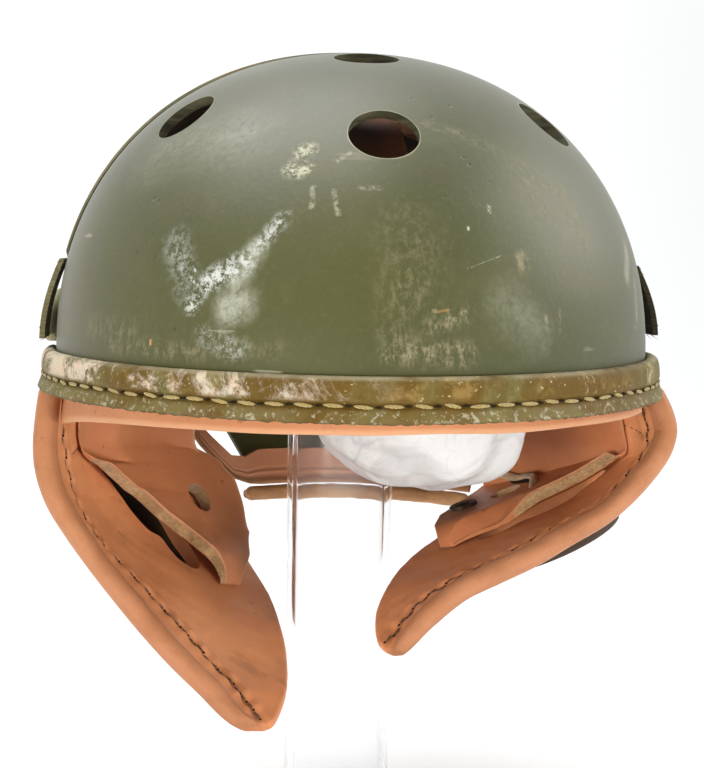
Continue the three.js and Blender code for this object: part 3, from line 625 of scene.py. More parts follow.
def crown_paint():
    paint = Finish("olive_crown_paint", Specular_IOR_Level=0.62, Sheen_Weight=0.16)
    broad = paint.noise(9, 3)
    fine = paint.noise(60, 5, 0.65)
    grain = paint.noise(520, 5, 0.75)
    base = paint.mix(paint.between(broad, 0.35, 0.65), (0.042, 0.045, 0.008), (0.058, 0.059, 0.012))
    base = paint.mix(paint.between(fine, 0.45, 0.75) * 0.35, base, (0.085, 0.08, 0.026))
    warm = paint.between(paint.noise(14, 2), 0.5, 0.75)
    base = paint.mix(warm * 0.45, base, (0.075, 0.06, 0.015))
    base = paint.mix(paint.between(grain, 0.5, 0.7) * 0.3, base, (0.105, 0.1, 0.045))

    ragged = paint.noise(110, 5, 0.7)
    brushed = paint.noise(420, 7, 0.85, paint.stretched(1.0, 1.0, 0.5))
    rubbed = marks(paint, "tan", paint.between(brushed, 0.45, 0.62), ragged)
    base = paint.mix(rubbed * 0.55, base, (0.34, 0.28, 0.165))
    # Pale strokes: faded paint, and where the two broadest lie, a painted sheen
    faded_and_sheen = marks(paint, "pale", paint.between(grain, 0.2, 0.6), ragged)
    base = paint.mix(faded_and_sheen * 0.85, base, (0.33, 0.33, 0.25))
    scuffed = marks(paint, "silver", paint.between(paint.noise(430, 7, 0.85), 0.46, 0.56) * 1.3, ragged)
    base = paint.mix(scuffed * 0.85, base, (0.55, 0.56, 0.5))
    creamy = marks(paint, "cream", paint.between(grain, 0.42, 0.6), ragged)
    base = paint.mix(creamy * 0.8, base, (0.5, 0.48, 0.33))
    base = paint.mix(marks(paint, "chip", grain + 0.5, ragged), base, (0.55, 0.24, 0.08))
    base = paint.mix(marks(paint, "dark", grain + 0.4, ragged) * 0.8, base, (0.02, 0.02, 0.012))

    lined = paint.noise(70, 3, 0.5, paint.stretched(0.25, 0.25, 2.6))
    scratch = paint.between(lined, 0.685, 0.71) * paint.between(paint.noise(11, 2), 0.5, 0.62)
    base = paint.mix(scratch * 0.55, base, (0.36, 0.33, 0.22))
    pits = paint.between(paint.cells(150), 0.16, 0.05)
    pits = pits * paint.between(paint.noise(24, 2), 0.56, 0.66)
    base = paint.mix(pits * 0.7, base, (0.03, 0.028, 0.016))

    rim_wear = None
    for middle, axis in vent_places():
        away = paint.vectors("SUBTRACT", paint.where, list(lifted(middle)))
        reach = paint.length(paint.vectors("CROSS_PRODUCT", away, list(axis)))
        rim_wear = reach if rim_wear is None else rim_wear.smaller(reach)
    edge = VENT_DIAMETER / 2000
    worn = paint.between(rim_wear + (fine - 0.5) * 0.0012, edge + 0.0005, edge)
    base = paint.mix(worn * 0.6, base, (0.33, 0.31, 0.19))

    height = fine * 0.35 + grain * 0.4 + rubbed * 0.2 + scuffed * 0.5 + creamy * 0.4 - pits
    rough = 0.4 + fine * 0.12 + rubbed * 0.2 + scuffed * 0.1
    return paint.finish(base, rough, height, 0.0004, 0.55)


def shell_inside():
    bare = Finish("shell_inside")
    fibre = bare.noise(80, 6, 0.7)
    colour = bare.mix(bare.between(fibre, 0.35, 0.7), (0.018, 0.014, 0.009), (0.038, 0.028, 0.017))
    return bare.finish(colour, 0.75, fibre, 0.0005, 0.5)


def vent_wall():
    bare = Finish("vent_wall")
    layers = bare.noise(90, 4, 0.6, bare.stretched(1.0, 1.0, 6.0))
    colour = bare.mix(bare.between(layers, 0.35, 0.65), (0.03, 0.027, 0.013), (0.085, 0.078, 0.04))
    return bare.finish(colour, 0.6, layers, 0.0003, 0.5)


def trim_leather():
    """Olive leather of the brow trim: rubbed to brown in front, pale and pink where scuffed."""
    hide = Finish("olive_trim_leather", Specular_IOR_Level=0.25)
    broad = hide.noise(26, 5, 0.65, twist=0.8)
    fine = hide.noise(190, 6, 0.75)
    front = hide.value("facing_front")
    olive = hide.mix(hide.between(fine, 0.35, 0.7), (0.1, 0.083, 0.02), (0.17, 0.138, 0.045))
    amber = (hide.between(broad, 0.36, 0.56) * front + hide.value("groove") * front * 0.4).clamped()
    colour = hide.mix(amber * 0.85, olive, (0.095, 0.046, 0.002))
    gold = hide.between(hide.noise(70, 5, 0.7), 0.52, 0.66) * front * hide.value("roll")
    colour = hide.mix(gold * 0.5, colour, (0.3, 0.19, 0.06))
    torn = hide.noise(52, 9, 0.8, twist=0.4)
    patchy = hide.between(hide.noise(15, 2), 0.24, 0.4)
    scuffs = hide.between(torn, 0.45, 0.55) * hide.value("roll") * patchy * hide.value("right_side")
    scuff_colour = hide.mix(hide.between(fine, 0.4, 0.6), (0.62, 0.46, 0.33), (0.53, 0.47, 0.37))
    colour = hide.mix(scuffs * 0.85, colour, scuff_colour)
    bits = hide.between(torn, 0.58, 0.63) * hide.value("roll")
    colour = hide.mix(bits * 0.6, colour, (0.42, 0.35, 0.2))
    rub = hide.value("lip") * hide.between(hide.noise(40, 3), 0.35, 0.55)
    colour = hide.mix(rub * 0.45, colour, (0.42, 0.38, 0.24))
    edge = hide.value("flange_edge")
    grey = hide.between(hide.noise(46, 5, 0.7), 0.36, 0.58) * edge
    colour = hide.mix(grey * 0.5, colour, (0.165, 0.13, 0.05))
    grains = hide.between(hide.noise(420, 4, 0.7), 0.53, 0.62) * edge
    colour = hide.mix(grains * 0.5, colour, (0.5, 0.46, 0.32))
    flecks = hide.between(hide.noise(520, 3), 0.66, 0.7)
    colour = hide.mix(flecks * 0.6, colour, (0.5, 0.42, 0.24))
    # The stitch groove is darkened: painted shade in the groove
    colour = hide.mix(hide.value("groove") * 0.4, colour, (0.07, 0.042, 0.012))
    colour = hide.mix(hide.value("hem") * 0.6, colour, (0.06, 0.045, 0.02))
    creases = hide.noise(120, 5, 0.6, hide.stretched(1.0, 1.0, 0.35))
    height = fine * 0.9 + creases * 0.9 + scuffs * 0.35 + grains * 0.3 + broad * 0.4
    return hide.finish(colour, 0.46 + fine * 0.22 + scuffs * 0.2, height, 0.0007, 0.8)


def russet_leather(name, light, dark, shine):
    """Soft russet leather: smudged darker along its seams, and darker in its creases as painted
    shade; where its stretched value is set it turns a darker, duller brown, painted shade on the
    flaps' front bead.
    """
    hide = Finish(name, Specular_IOR_Level=0.3)
    broad = hide.noise(17, 4, 0.55, twist=0.5)
    middle = hide.noise(55, 5, 0.6)
    fine = hide.noise(380, 4, 0.6)
    colour = hide.mix(hide.between(broad, 0.32, 0.7), dark, light)
    colour = hide.mix(hide.between(middle, 0.5, 0.8) * 0.3, colour, tuple(0.72 * c for c in dark))
    # Smudges along the seams; the seam value also holds the flaps' creases, darkened as painted shade
    seam = hide.value("seam")
    smudge_and_crease_shade = seam * hide.between(hide.noise(85, 5, 0.7), 0.42, 0.62)
    colour = hide.mix(smudge_and_crease_shade * 0.62, colour, tuple(0.42 * c for c in dark))
    # A darker, duller brown where the stretched value is set: painted shade on the flaps' front bead
    pale = hide.value("stretched")
    bead_shade_tone = hide.mix(hide.between(middle, 0.35, 0.65), (0.24, 0.098, 0.044), (0.32, 0.14, 0.07))
    colour = hide.mix(pale, colour, bead_shade_tone)
    stains = hide.between(hide.noise(38, 4, 0.65), 0.6, 0.7)
    colour = hide.mix(stains * 0.3, colour, tuple(0.4 * c for c in dark))
    nicks = hide.between(hide.noise(190, 3, 0.6), 0.68, 0.72)
    colour = hide.mix(nicks * 0.45, colour, tuple(0.3 * c for c in dark))
    colour = hide.mix(hide.value("raw_edge"), colour, (0.6, 0.36, 0.2))
    colour = hide.mix(hide.value("shade"), colour, tuple(0.3 * c for c in dark))
    pores = hide.between(hide.cells(700), 0.0, 0.45)
    lines = hide.noise(70, 3, 0.5, hide.stretched(1.0, 0.4, 1.6), 1.5)
    height = pores * 0.35 + fine * 0.3 + lines * 1.1 + middle * 0.8 - nicks * 0.4
    rough = shine + middle * 0.2 + seam * 0.1 - pale * 0.08
    return hide.finish(colour, rough, height, 0.0004, 0.55)


def felt_finish():
    felt = Finish("tan_felt", Specular_IOR_Level=0.2, Sheen_Weight=0.4)
    fibre = felt.noise(520, 6, 0.75)
    clumps = felt.noise(110, 4, 0.6)
    colour = felt.mix(felt.between(fibre, 0.3, 0.7), (0.52, 0.28, 0.1), (0.78, 0.5, 0.23))
    colour = felt.mix(felt.between(clumps, 0.42, 0.62) * 0.6, colour, (0.36, 0.19, 0.07))
    return felt.finish(colour, 0.92, fibre + clumps * 1.2, 0.0018, 1.0)


def worn(name, grain, patches, dark, light, flecks, fleck, **fixed):
    """A finish with soft patches and fine flecks: its grain, its patches and its colour so far."""
    finish = Finish(name, **fixed)
    fine = finish.noise(*grain)
    *noise, full = patches
    broad = finish.noise(*noise)
    low, high, shown = flecks
    colour = finish.mix(finish.between(broad, 0.35, full), dark, light)
    return finish, fine, broad, finish.mix(finish.between(fine, low, high) * shown, colour, fleck)


def guard_paint():
    dark, light, fleck = (0.03, 0.032, 0.008), (0.055, 0.055, 0.014), (0.13, 0.12, 0.06)
    paint, fine, _, colour = worn(
        "dark_guard_olive", (120, 6, 0.7), (16, 3, 0.7), dark, light, (0.6, 0.75, 0.5), fleck
    )
    return paint.finish(colour, 0.55 + fine * 0.2, fine, 0.0006, 0.6)


def binding_leather():
    dark, light, fleck = (0.2, 0.19, 0.09), (0.34, 0.31, 0.18), (0.46, 0.42, 0.28)
    hide, fine, broad, colour = worn(
        "binding_leather", (150, 6, 0.7), (30, 4, 0.6, 0.65), dark, light, (0.55, 0.72, 0.5), fleck
    )
    return hide.finish(colour, 0.55 + fine * 0.2, fine + broad, 0.0006, 0.6)


def dark_leather():
    dark, light, fleck = (0.032, 0.019, 0.011), (0.062, 0.038, 0.022), (0.12, 0.075, 0.045)
    hide, fine, _, colour = worn(
        "dark_brown_leather", (210, 5, 0.65), (26, 3, 0.7), dark, light, (0.6, 0.75, 0.4), fleck,
        Specular_IOR_Level=0.4,
    )
    return hide.finish(colour, 0.5 + fine * 0.2, fine + hide.cells(500) * 0.6, 0.0005, 0.6)


def tan_roll_leather():
    dark, light, fleck = (0.4, 0.19, 0.07), (0.6, 0.34, 0.15), (0.3, 0.14, 0.05)
    hide, fine, broad, colour = worn(
        "tan_rolled_leather", (180, 5, 0.7), (30, 4, 0.6, 0.65), dark, light, (0.55, 0.75, 0.45), fleck
    )
    return hide.finish(colour, 0.5 + fine * 0.2, fine + broad * 0.6, 0.0005, 0.6)


def neck_band_leather():
    """Russet band with two dark fold lines toward its lower edge: painted shade in the folds."""
    hide = Finish("neck_band_leather")
    level = hide.value("level")
    fine = hide.noise(180, 5, 0.65)
    broad = hide.noise(30, 4, 0.6)
    colour = hide.mix(hide.between(broad, 0.35, 0.65), (0.5, 0.21, 0.1), (0.66, 0.31, 0.16))
    wobble = (broad - 0.5) * 0.08
    # The two fold lines, darkened as painted shade
    fold = hide.between(level + wobble, 0.34, 0.2) * hide.between(level + wobble, 0.04, 0.18)
    upper = hide.between(level + wobble, 0.52, 0.42) * hide.between(level + wobble, 0.34, 0.42)
    colour = hide.mix((fold + upper * 0.7).clamped() * 0.6, colour, (0.2, 0.075, 0.03))
    colour = hide.mix(hide.between(level, 0.16, 0.02) * 0.6, colour, (0.5, 0.28, 0.12))
    return hide.finish(colour, 0.48 + fine * 0.2, fine * 0.7 - fold * 1.5 - upper, 0.0007, 0.7)


def webbing(name, dark, light, worn):
    cloth = Finish(name, Specular_IOR_Level=0.2, Sheen_Weight=0.2)
    _, y, z = cloth.parts(cloth.where)
    warp = (y * 5200.0).sine() * 0.5 + 0.5
    weft = (z * 4200.0).sine() * 0.5 + 0.5
    fine = cloth.noise(300, 4, 0.7)
    weave = warp * weft
    colour = cloth.mix(weave, dark, light)
    colour = cloth.mix(cloth.between(fine, 0.5, 0.75) * 0.4, colour, worn)
    return cloth.finish(colour, 0.85, weave + fine * 0.5, 0.0008, 0.8)


def thread_finish(name, light, dark):
    """Twisted thread: fine slanted plies."""
    thread = Finish(name, Specular_IOR_Level=0.3, Sheen_Weight=0.2)
    x, y, z = thread.parts(thread.where)
    plies = ((x * 1.0 + y * 0.6 + z * 1.7) * 5200.0).sine() * 0.5 + 0.5
    fuzz = thread.noise(600, 4, 0.7)
    colour = thread.mix(plies * 0.7 + fuzz * 0.3, dark, light)
    return thread.finish(colour, 0.7, plies + fuzz * 0.6, 0.0004, 0.8)


# Dark spots that paint the shade of the stitch holes and of the slot's gap
def hole_shade_finish():
    shade = Finish("stitch_hole_shade", Specular_IOR_Level=0.1)
    soft = shade.noise(400, 3)
    colour = shade.mix(soft, (0.008, 0.006, 0.003), (0.03, 0.02, 0.01))
    return shade.finish(colour, 0.9, soft, 0.0003, 0.4)


def snap_metal():
    metal = Finish("dark_snap_metal", Metallic=0.4)
    worn = metal.noise(260, 5, 0.7)
    colour = metal.mix(metal.between(worn, 0.45, 0.7), (0.03, 0.018, 0.012), (0.13, 0.09, 0.06))
    return metal.finish(colour, 0.4 + worn * 0.3, worn, 0.0003, 0.6)


def tissue_finish():
    sheet = Finish("white_tissue", Specular_IOR_Level=0.2, Subsurface_Weight=0.1)
    fine = sheet.noise(240, 5, 0.7)
    folds = (sheet.noise(20, 3, 0.5, twist=1.2) - 0.5).absolute()
    small = (sheet.noise(52, 3, 0.5, twist=0.8) - 0.5).absolute()
    # Darker along the folds: painted shade in the creases
    crease_shade = sheet.between(folds, 0.0, 0.04) * 0.7 + sheet.between(small, 0.0, 0.02) * 0.3
    colour = sheet.mix(crease_shade, (0.42, 0.41, 0.4), (0.53, 0.52, 0.505))
    return sheet.finish(colour, 0.85, folds * 1.2 + small * 0.35 + fine * 0.04, 0.006, 0.6)


def clear_plastic():
    clear = Finish("clear_acrylic", Transmission_Weight=0.97, IOR=1.18)
    haze = clear.noise(90, 4, 0.6)
    scratches = clear.noise(60, 3, 0.5, clear.stretched(1.0, 1.0, 0.08))
    colour = clear.mix(haze, (0.97, 0.98, 0.985), (0.99, 0.992, 0.995))
    rough = clear.between(scratches, 0.55, 0.8) * 0.12 + 0.015
    return clear.finish(colour, rough, scratches, 0.0001, 0.12)


def strap_leather():
    hide = Finish("crown_strap_leather")
    fine = hide.noise(170, 5, 0.7)
    broad = hide.noise(24, 4, 0.6)
    colour = hide.mix(hide.between(broad, 0.35, 0.65), (0.13, 0.115, 0.05), (0.24, 0.21, 0.11))
    colour = hide.mix(hide.between(broad, 0.6, 0.7) * 0.7, colour, (0.2, 0.09, 0.04))
    colour = hide.mix(hide.between(fine, 0.55, 0.75) * 0.4, colour, (0.42, 0.38, 0.26))
    return hide.finish(colour, 0.55 + fine * 0.2, fine, 0.0005, 0.6)


RUSSET_LIGHT = (0.8, 0.33, 0.135)
RUSSET_DARK = (0.68, 0.255, 0.1)

finishes = {
    "crown": crown_paint(),
    "inside": shell_inside(),
    "vent_wall": vent_wall(),
    "trim": trim_leather(),
    "lining": russet_leather("brow_lining_leather", (0.5, 0.215, 0.1), (0.44, 0.178, 0.078), 0.5),
    "flap": russet_leather("flap_leather", RUSSET_LIGHT, RUSSET_DARK, 0.4),
    "pad": russet_leather("pad_leather", (0.64, 0.25, 0.105), (0.52, 0.185, 0.072), 0.42),
    "cradle": russet_leather("cradle_leather", (0.2, 0.075, 0.033), (0.1, 0.038, 0.018), 0.55),
    "felt": felt_finish(),
    "guard": guard_paint(),
    "binding": binding_leather(),
    "dark": dark_leather(),
    "tan": tan_roll_leather(),
    "neck": neck_band_leather(),
    "web": webbing("olive_webbing", (0.13, 0.11, 0.05), (0.3, 0.25, 0.13), (0.4, 0.34, 0.2)),
    # A darker copy of the olive webbing for the left tab: painted shade
    "dark_web": webbing("shaded_webbing", (0.02, 0.015, 0.006), (0.05, 0.038, 0.015), (0.11, 0.09, 0.04)),
    "yellow_thread": thread_finish("olive_yellow_thread", (0.5, 0.38, 0.14), (0.2, 0.135, 0.04)),
    "brown_thread": thread_finish("brown_thread", (0.26, 0.11, 0.05), (0.09, 0.035, 0.018)),
    "hole": hole_shade_finish(),
    "snap": snap_metal(),
    "tissue": tissue_finish(),
    "clear": clear_plastic(),
    "strap": strap_leather(),
}


def dress(piece, finish, slot, *nodes):
    """Gives a piece its finish and ties it to the parts that it stands for."""
    wanted = [finishes[name] for name in ([finish] if isinstance(finish, str) else finish)]
    if list(piece.data.materials) != wanted:
        piece.data.materials.clear()
        for material in wanted:
            piece.data.materials.append(material)
    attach(piece, "root")
    if nodes:
        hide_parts(*nodes)
    return piece


# Stitches and fibres, laid out by geometry nodes


class Recipe:
    """A geometry node tree under construction, with named inputs."""

    def __init__(self, name, numbers):
        self.tree = bpy.data.node_groups.new(name, "GeometryNodeTree")
        sockets = {"Geometry": "NodeSocketGeometry"}
        sockets.update({label: "NodeSocketFloat" for label in numbers})
        sockets.update({"Seed": "NodeSocketInt", "Material": "NodeSocketMaterial"})
        self.keys = {}
        for label, kind in sockets.items():
            item = self.tree.interface.new_socket(label, in_out="INPUT", socket_type=kind)
            self.keys[label] = item.identifier
        self.tree.interface.new_socket("Geometry", in_out="OUTPUT", socket_type=sockets["Geometry"])
        self.given = self.tree.nodes.new("NodeGroupInput")
        self.taken = self.tree.nodes.new("NodeGroupOutput")

    def input(self, label):
        return self.given.outputs[label]

    def node(self, kind, settings=None, values=None, output=0):
        node = self.tree.nodes.new(kind)
        for label, setting in (settings or {}).items():
            setattr(node, label, setting)
        for place, given in (values or {}).items():
            if isinstance(given, bpy.types.NodeSocket):
                self.tree.links.new(given, node.inputs[place])
            else:
                node.inputs[place].default_value = given
        return node.outputs[output]

    def maths(self, operation, first, second):
        return self.node("ShaderNodeMath", {"operation": operation}, {0: first, 1: second})

    def chance(self, low, high, seed):
        values = {2: low, 3: high, "Seed": seed}
        return self.node("FunctionNodeRandomValue", {"data_type": "FLOAT"}, values, output=1)

    def scaled(self, vector, amount):
        return self.node("ShaderNodeVectorMath", {"operation": "SCALE"}, {0: vector, "Scale": amount})

    def close(self, geometry, material):
        real = self.node("GeometryNodeRealizeInstances", {}, {0: geometry})
        coated = self.node("GeometryNodeSetMaterial", {}, {"Geometry": real, "Material": material})
        self.tree.links.new(coated, self.taken.inputs[0])

    def run(self, piece, inputs):
        """Runs the recipe on a piece and keeps the result as a plain mesh."""
        change = piece.modifiers.new("recipe", "NODES")
        change.node_group = self.tree
        for label, given in inputs.items():
            change[self.keys[label]] = given
        settle(piece)
        piece.data.shade_smooth()


def stitch_recipe():
    """Stitches at an even pitch along a line, each lying along it and facing outward."""
    recipe = Recipe("stitches", ["Pitch", "Length", "Thickness", "Lift", "Shift", "Slant", "Wander"])
    seed = recipe.input("Seed")
    line = recipe.node("GeometryNodeMeshToCurve", {}, {0: recipe.input("Geometry")})
    spaced = recipe.node(
        "GeometryNodeResampleCurve", {"mode": "LENGTH"}, {"Curve": line, "Length": recipe.input("Pitch")}
    )
    along = recipe.node("GeometryNodeInputTangent")
    outward = recipe.node(
        "GeometryNodeInputNamedAttribute", {"data_type": "FLOAT_VECTOR"}, {"Name": "outward"}
    )
    lifted = recipe.scaled(outward, recipe.input("Lift"))
    shifted = recipe.scaled(along, recipe.input("Shift"))
    offset = recipe.node("ShaderNodeVectorMath", {"operation": "ADD"}, {0: lifted, 1: shifted})
    moved = recipe.node("GeometryNodeSetPosition", {}, {"Geometry": spaced, "Offset": offset})
    faced = recipe.node(
        "FunctionNodeAxesToRotation", {"primary_axis": "Z", "secondary_axis": "X"}, {0: outward, 1: along}
    )
    wander = recipe.input("Wander")
    turned = recipe.chance(recipe.maths("MULTIPLY", wander, -1.0), wander, seed)
    turned = recipe.maths("ADD", turned, recipe.input("Slant"))
    angles = recipe.node("ShaderNodeCombineXYZ", {}, {2: turned})
    local = recipe.node("FunctionNodeEulerToRotation", {}, {0: angles})
    facing = recipe.node("FunctionNodeRotateRotation", {"rotation_space": "LOCAL"}, {0: faced, 1: local})
    length = recipe.maths("MULTIPLY", recipe.input("Length"), recipe.chance(0.42, 0.54, seed))
    wide = recipe.maths("MULTIPLY", recipe.input("Thickness"), 0.5)
    tall = recipe.maths("MULTIPLY", recipe.input("Thickness"), 0.45)
    size = recipe.node("ShaderNodeCombineXYZ", {}, {0: length, 1: wide, 2: tall})
    bead = recipe.node("GeometryNodeMeshUVSphere", {}, {"Segments": 10, "Rings": 8, "Radius": 1.0})
    placed = recipe.node(
        "GeometryNodeInstanceOnPoints",
        {},
        {"Points": moved, "Instance": bead, "Rotation": facing, "Scale": size},
    )
    recipe.close(placed, recipe.input("Material"))
    return recipe


def fibre_recipe():
    """Short bent fibres standing out of a surface."""
    recipe = Recipe("fibres", ["Density", "Length", "Thickness"])
    seed = recipe.input("Seed")
    scatter = recipe.tree.nodes.new("GeometryNodeDistributePointsOnFaces")
    recipe.tree.links.new(recipe.input("Geometry"), scatter.inputs["Mesh"])
    recipe.tree.links.new(recipe.input("Density"), scatter.inputs["Density"])
    recipe.tree.links.new(seed, scatter.inputs["Seed"])
    lean = recipe.node(
        "FunctionNodeRandomValue",
        {"data_type": "FLOAT_VECTOR"},
        {0: (-1.1, -1.1, -3.1), 1: (1.1, 1.1, 3.1), "Seed": seed},
    )
    local = recipe.node("FunctionNodeEulerToRotation", {}, {0: lean})
    facing = recipe.node(
        "FunctionNodeRotateRotation",
        {"rotation_space": "LOCAL"},
        {0: scatter.outputs["Rotation"], 1: local},
    )
    stalk = recipe.node(
        "GeometryNodeMeshCone",
        {},
        {"Vertices": 3, "Radius Top": 0.0, "Radius Bottom": 1.0, "Depth": 1.0},
    )
    size = recipe.node(
        "ShaderNodeCombineXYZ",
        {},
        {0: recipe.input("Thickness"), 1: recipe.input("Thickness"), 2: recipe.input("Length")},
    )
    placed = recipe.node(
        "GeometryNodeInstanceOnPoints",
        {},
        {
            "Points": scatter.outputs["Points"],
            "Instance": stalk,
            "Rotation": facing,
            "Scale": recipe.scaled(size, recipe.chance(0.4, 1.2, seed)),
        },
    )
    recipe.close(placed, recipe.input("Material"))
    return recipe


stitching = stitch_recipe()
fraying = fibre_recipe()


def stitch_line(name, path, outward, finish, slot, **inputs):
    """A run of stitches, or of dark spots of painted shade for the holes between them, along a path."""
    mesh = bpy.data.meshes.new(name)
    mesh.from_pydata(lifted(path).tolist(), [(n, n + 1) for n in range(len(path) - 1)], [])
    facing = mesh.attributes.new("outward", "FLOAT_VECTOR", "POINT")
    facing.data.foreach_set("vector", unit(outward).ravel())
    piece = linked(name, mesh)
    given = {
        "Pitch": 0.005,
        "Length": 0.0035,
        "Thickness": 0.0008,
        "Lift": 0.0,
        "Shift": 0.0,
        "Slant": 0.0,
        "Wander": 0.06,
        "Seed": 1,
        "Material": finishes[finish],
    }
    given.update(inputs)
    stitching.run(piece, given)
    return dress(piece, finish, slot)


def fray(strip, finish, slot, **inputs):
    """Turns a strip of surface into the fibres that stand out of it."""
    fraying.run(strip, {"Material": finishes[finish], **inputs})
    dress(strip, finish, slot)


# Crown

CROWN_FINISHES = ["crown", "inside", "vent_wall"]
INSIDE = CROWN_FINISHES.index("inside")
WALL = CROWN_FINISHES.index("vent_wall")


def crown_body():
    turns = 420
    turn = np.linspace(0, 2 * math.pi, turns, endpoint=False)[None]
    climb = np.linspace(0, QUARTER * 0.985, 40)[:, None]
    fine_climb = np.linspace(QUARTER * 0.985, 0, 118)[:, None]
    outside = crown_point(turn, fine_climb, 0.0)
    lip = [rim_point(turn, -inset, 0.0)[0] for inset in (0.25, CROWN_WALL / 2, CROWN_WALL - 0.25)]
    inside = crown_point(turn, climb, CROWN_WALL)
    rings = np.concatenate([outside, lip, inside])
    rows = len(rings)
    quads, _ = grid_faces(rows, turns)
    poles = np.array([[0, 0, CROWN_HEIGHT], [0, 0, CROWN_HEIGHT - CROWN_WALL]])
    points = np.vstack([rings.reshape(-1, 3), poles])
    top = rows * turns
    steps = np.arange(0, turns, 2)
    cap = np.stack([np.full_like(steps, top), (steps + 2) % turns, steps + 1, steps], -1)
    base = (rows - 1) * turns
    under = np.stack([np.full_like(steps, top + 1), steps, steps + 1, (steps + 2) % turns], -1)
    under[:, 1:] += base
    piece = build("crown", points, np.vstack([quads, cap, under]), values=broad_wear(points))
    for name in CROWN_FINISHES:
        piece.data.materials.append(finishes[name])
    cut_away(piece, drill("drills", vent_places(), VENT_DIAMETER, 64, CROWN_FINISHES))
    shade_crown(piece)
    return piece


def numbers_of(items, label, width=1, kind=float):
    """One property of every vertex, corner or face of a mesh."""
    found = np.zeros(len(items) * width, kind)
    items.foreach_get(label, found)
    return found.reshape(-1, width) if width > 1 else found


def shade_crown(piece):
    """True normals for the drilled crown, and the inside's own finish."""
    mesh = piece.data
    centres = numbers_of(mesh.polygons, "center", 3) * 1000 - [0, 0, RIM_HEIGHT]
    facing = numbers_of(mesh.polygons, "normal", 3)
    kinds = numbers_of(mesh.polygons, "material_index", kind=int)
    agreed = (facing * crown_normal(centres)).sum(1)
    inner = (agreed < -0.5) & (kinds != WALL)
    kinds[inner] = INSIDE
    mesh.polygons.foreach_set("material_index", kinds)
    corner = numbers_of(mesh.loops, "vertex_index", kind=int)
    spots = numbers_of(mesh.vertices, "co", 3) * 1000 - [0, 0, RIM_HEIGHT]
    owner = np.repeat(np.arange(len(kinds)), numbers_of(mesh.polygons, "loop_total", kind=int))
    true = crown_normal(spots[corner])
    flat = facing[owner]
    outside = (agreed > 0.7)[owner] & (kinds != WALL)[owner]
    normals = np.where(outside[:, None], true, np.where(inner[owner][:, None], -true, flat))
    walls = (kinds == WALL)[owner]
    for middle, axis in vent_places():
        away = spots[corner] - middle
        radial = away - (away @ axis)[:, None] * axis
        close = walls & (np.linalg.norm(radial, axis=1) < VENT_DIAMETER * 0.6)
        close &= np.abs(away @ axis) < DRILL_DEPTH / 2
        normals[close] = -unit(radial[close])
    mesh.shade_smooth()
    mesh.normals_split_custom_set(normals.tolist())


dress(crown_body(), CROWN_FINISHES, "olive_paint", "crown_shell")


# Brow trim: roll, flange and saddle stitches


# Section of the trim, from its lip at the crown round its outside and back
TRIM_SECTION = table(
    "out up",
    (0.45, -0.6), (0.6, 0.2), (1.5, 0.7), (2.6, 0.65), (3.8, 0.1), (4.7, -1.1), (5.15, -2.8),
    (5.35, -4.6), (5.3, -6.2), (5.0, -7.4), (4.85, -8.1), (5.1, -8.9), (5.7, -10.3), (6.3, -11.7),
    (6.75, -12.8), (6.6, -13.2), (5.9, -13.35), (5.2, -13.1), (4.2, -11.0), (2.9, -8.0), (0.6, -5.5),
)
TRIM_SWEEP = math.radians(96)
STITCH_LEVEL = -8.0
STITCH_PITCH = 9.0


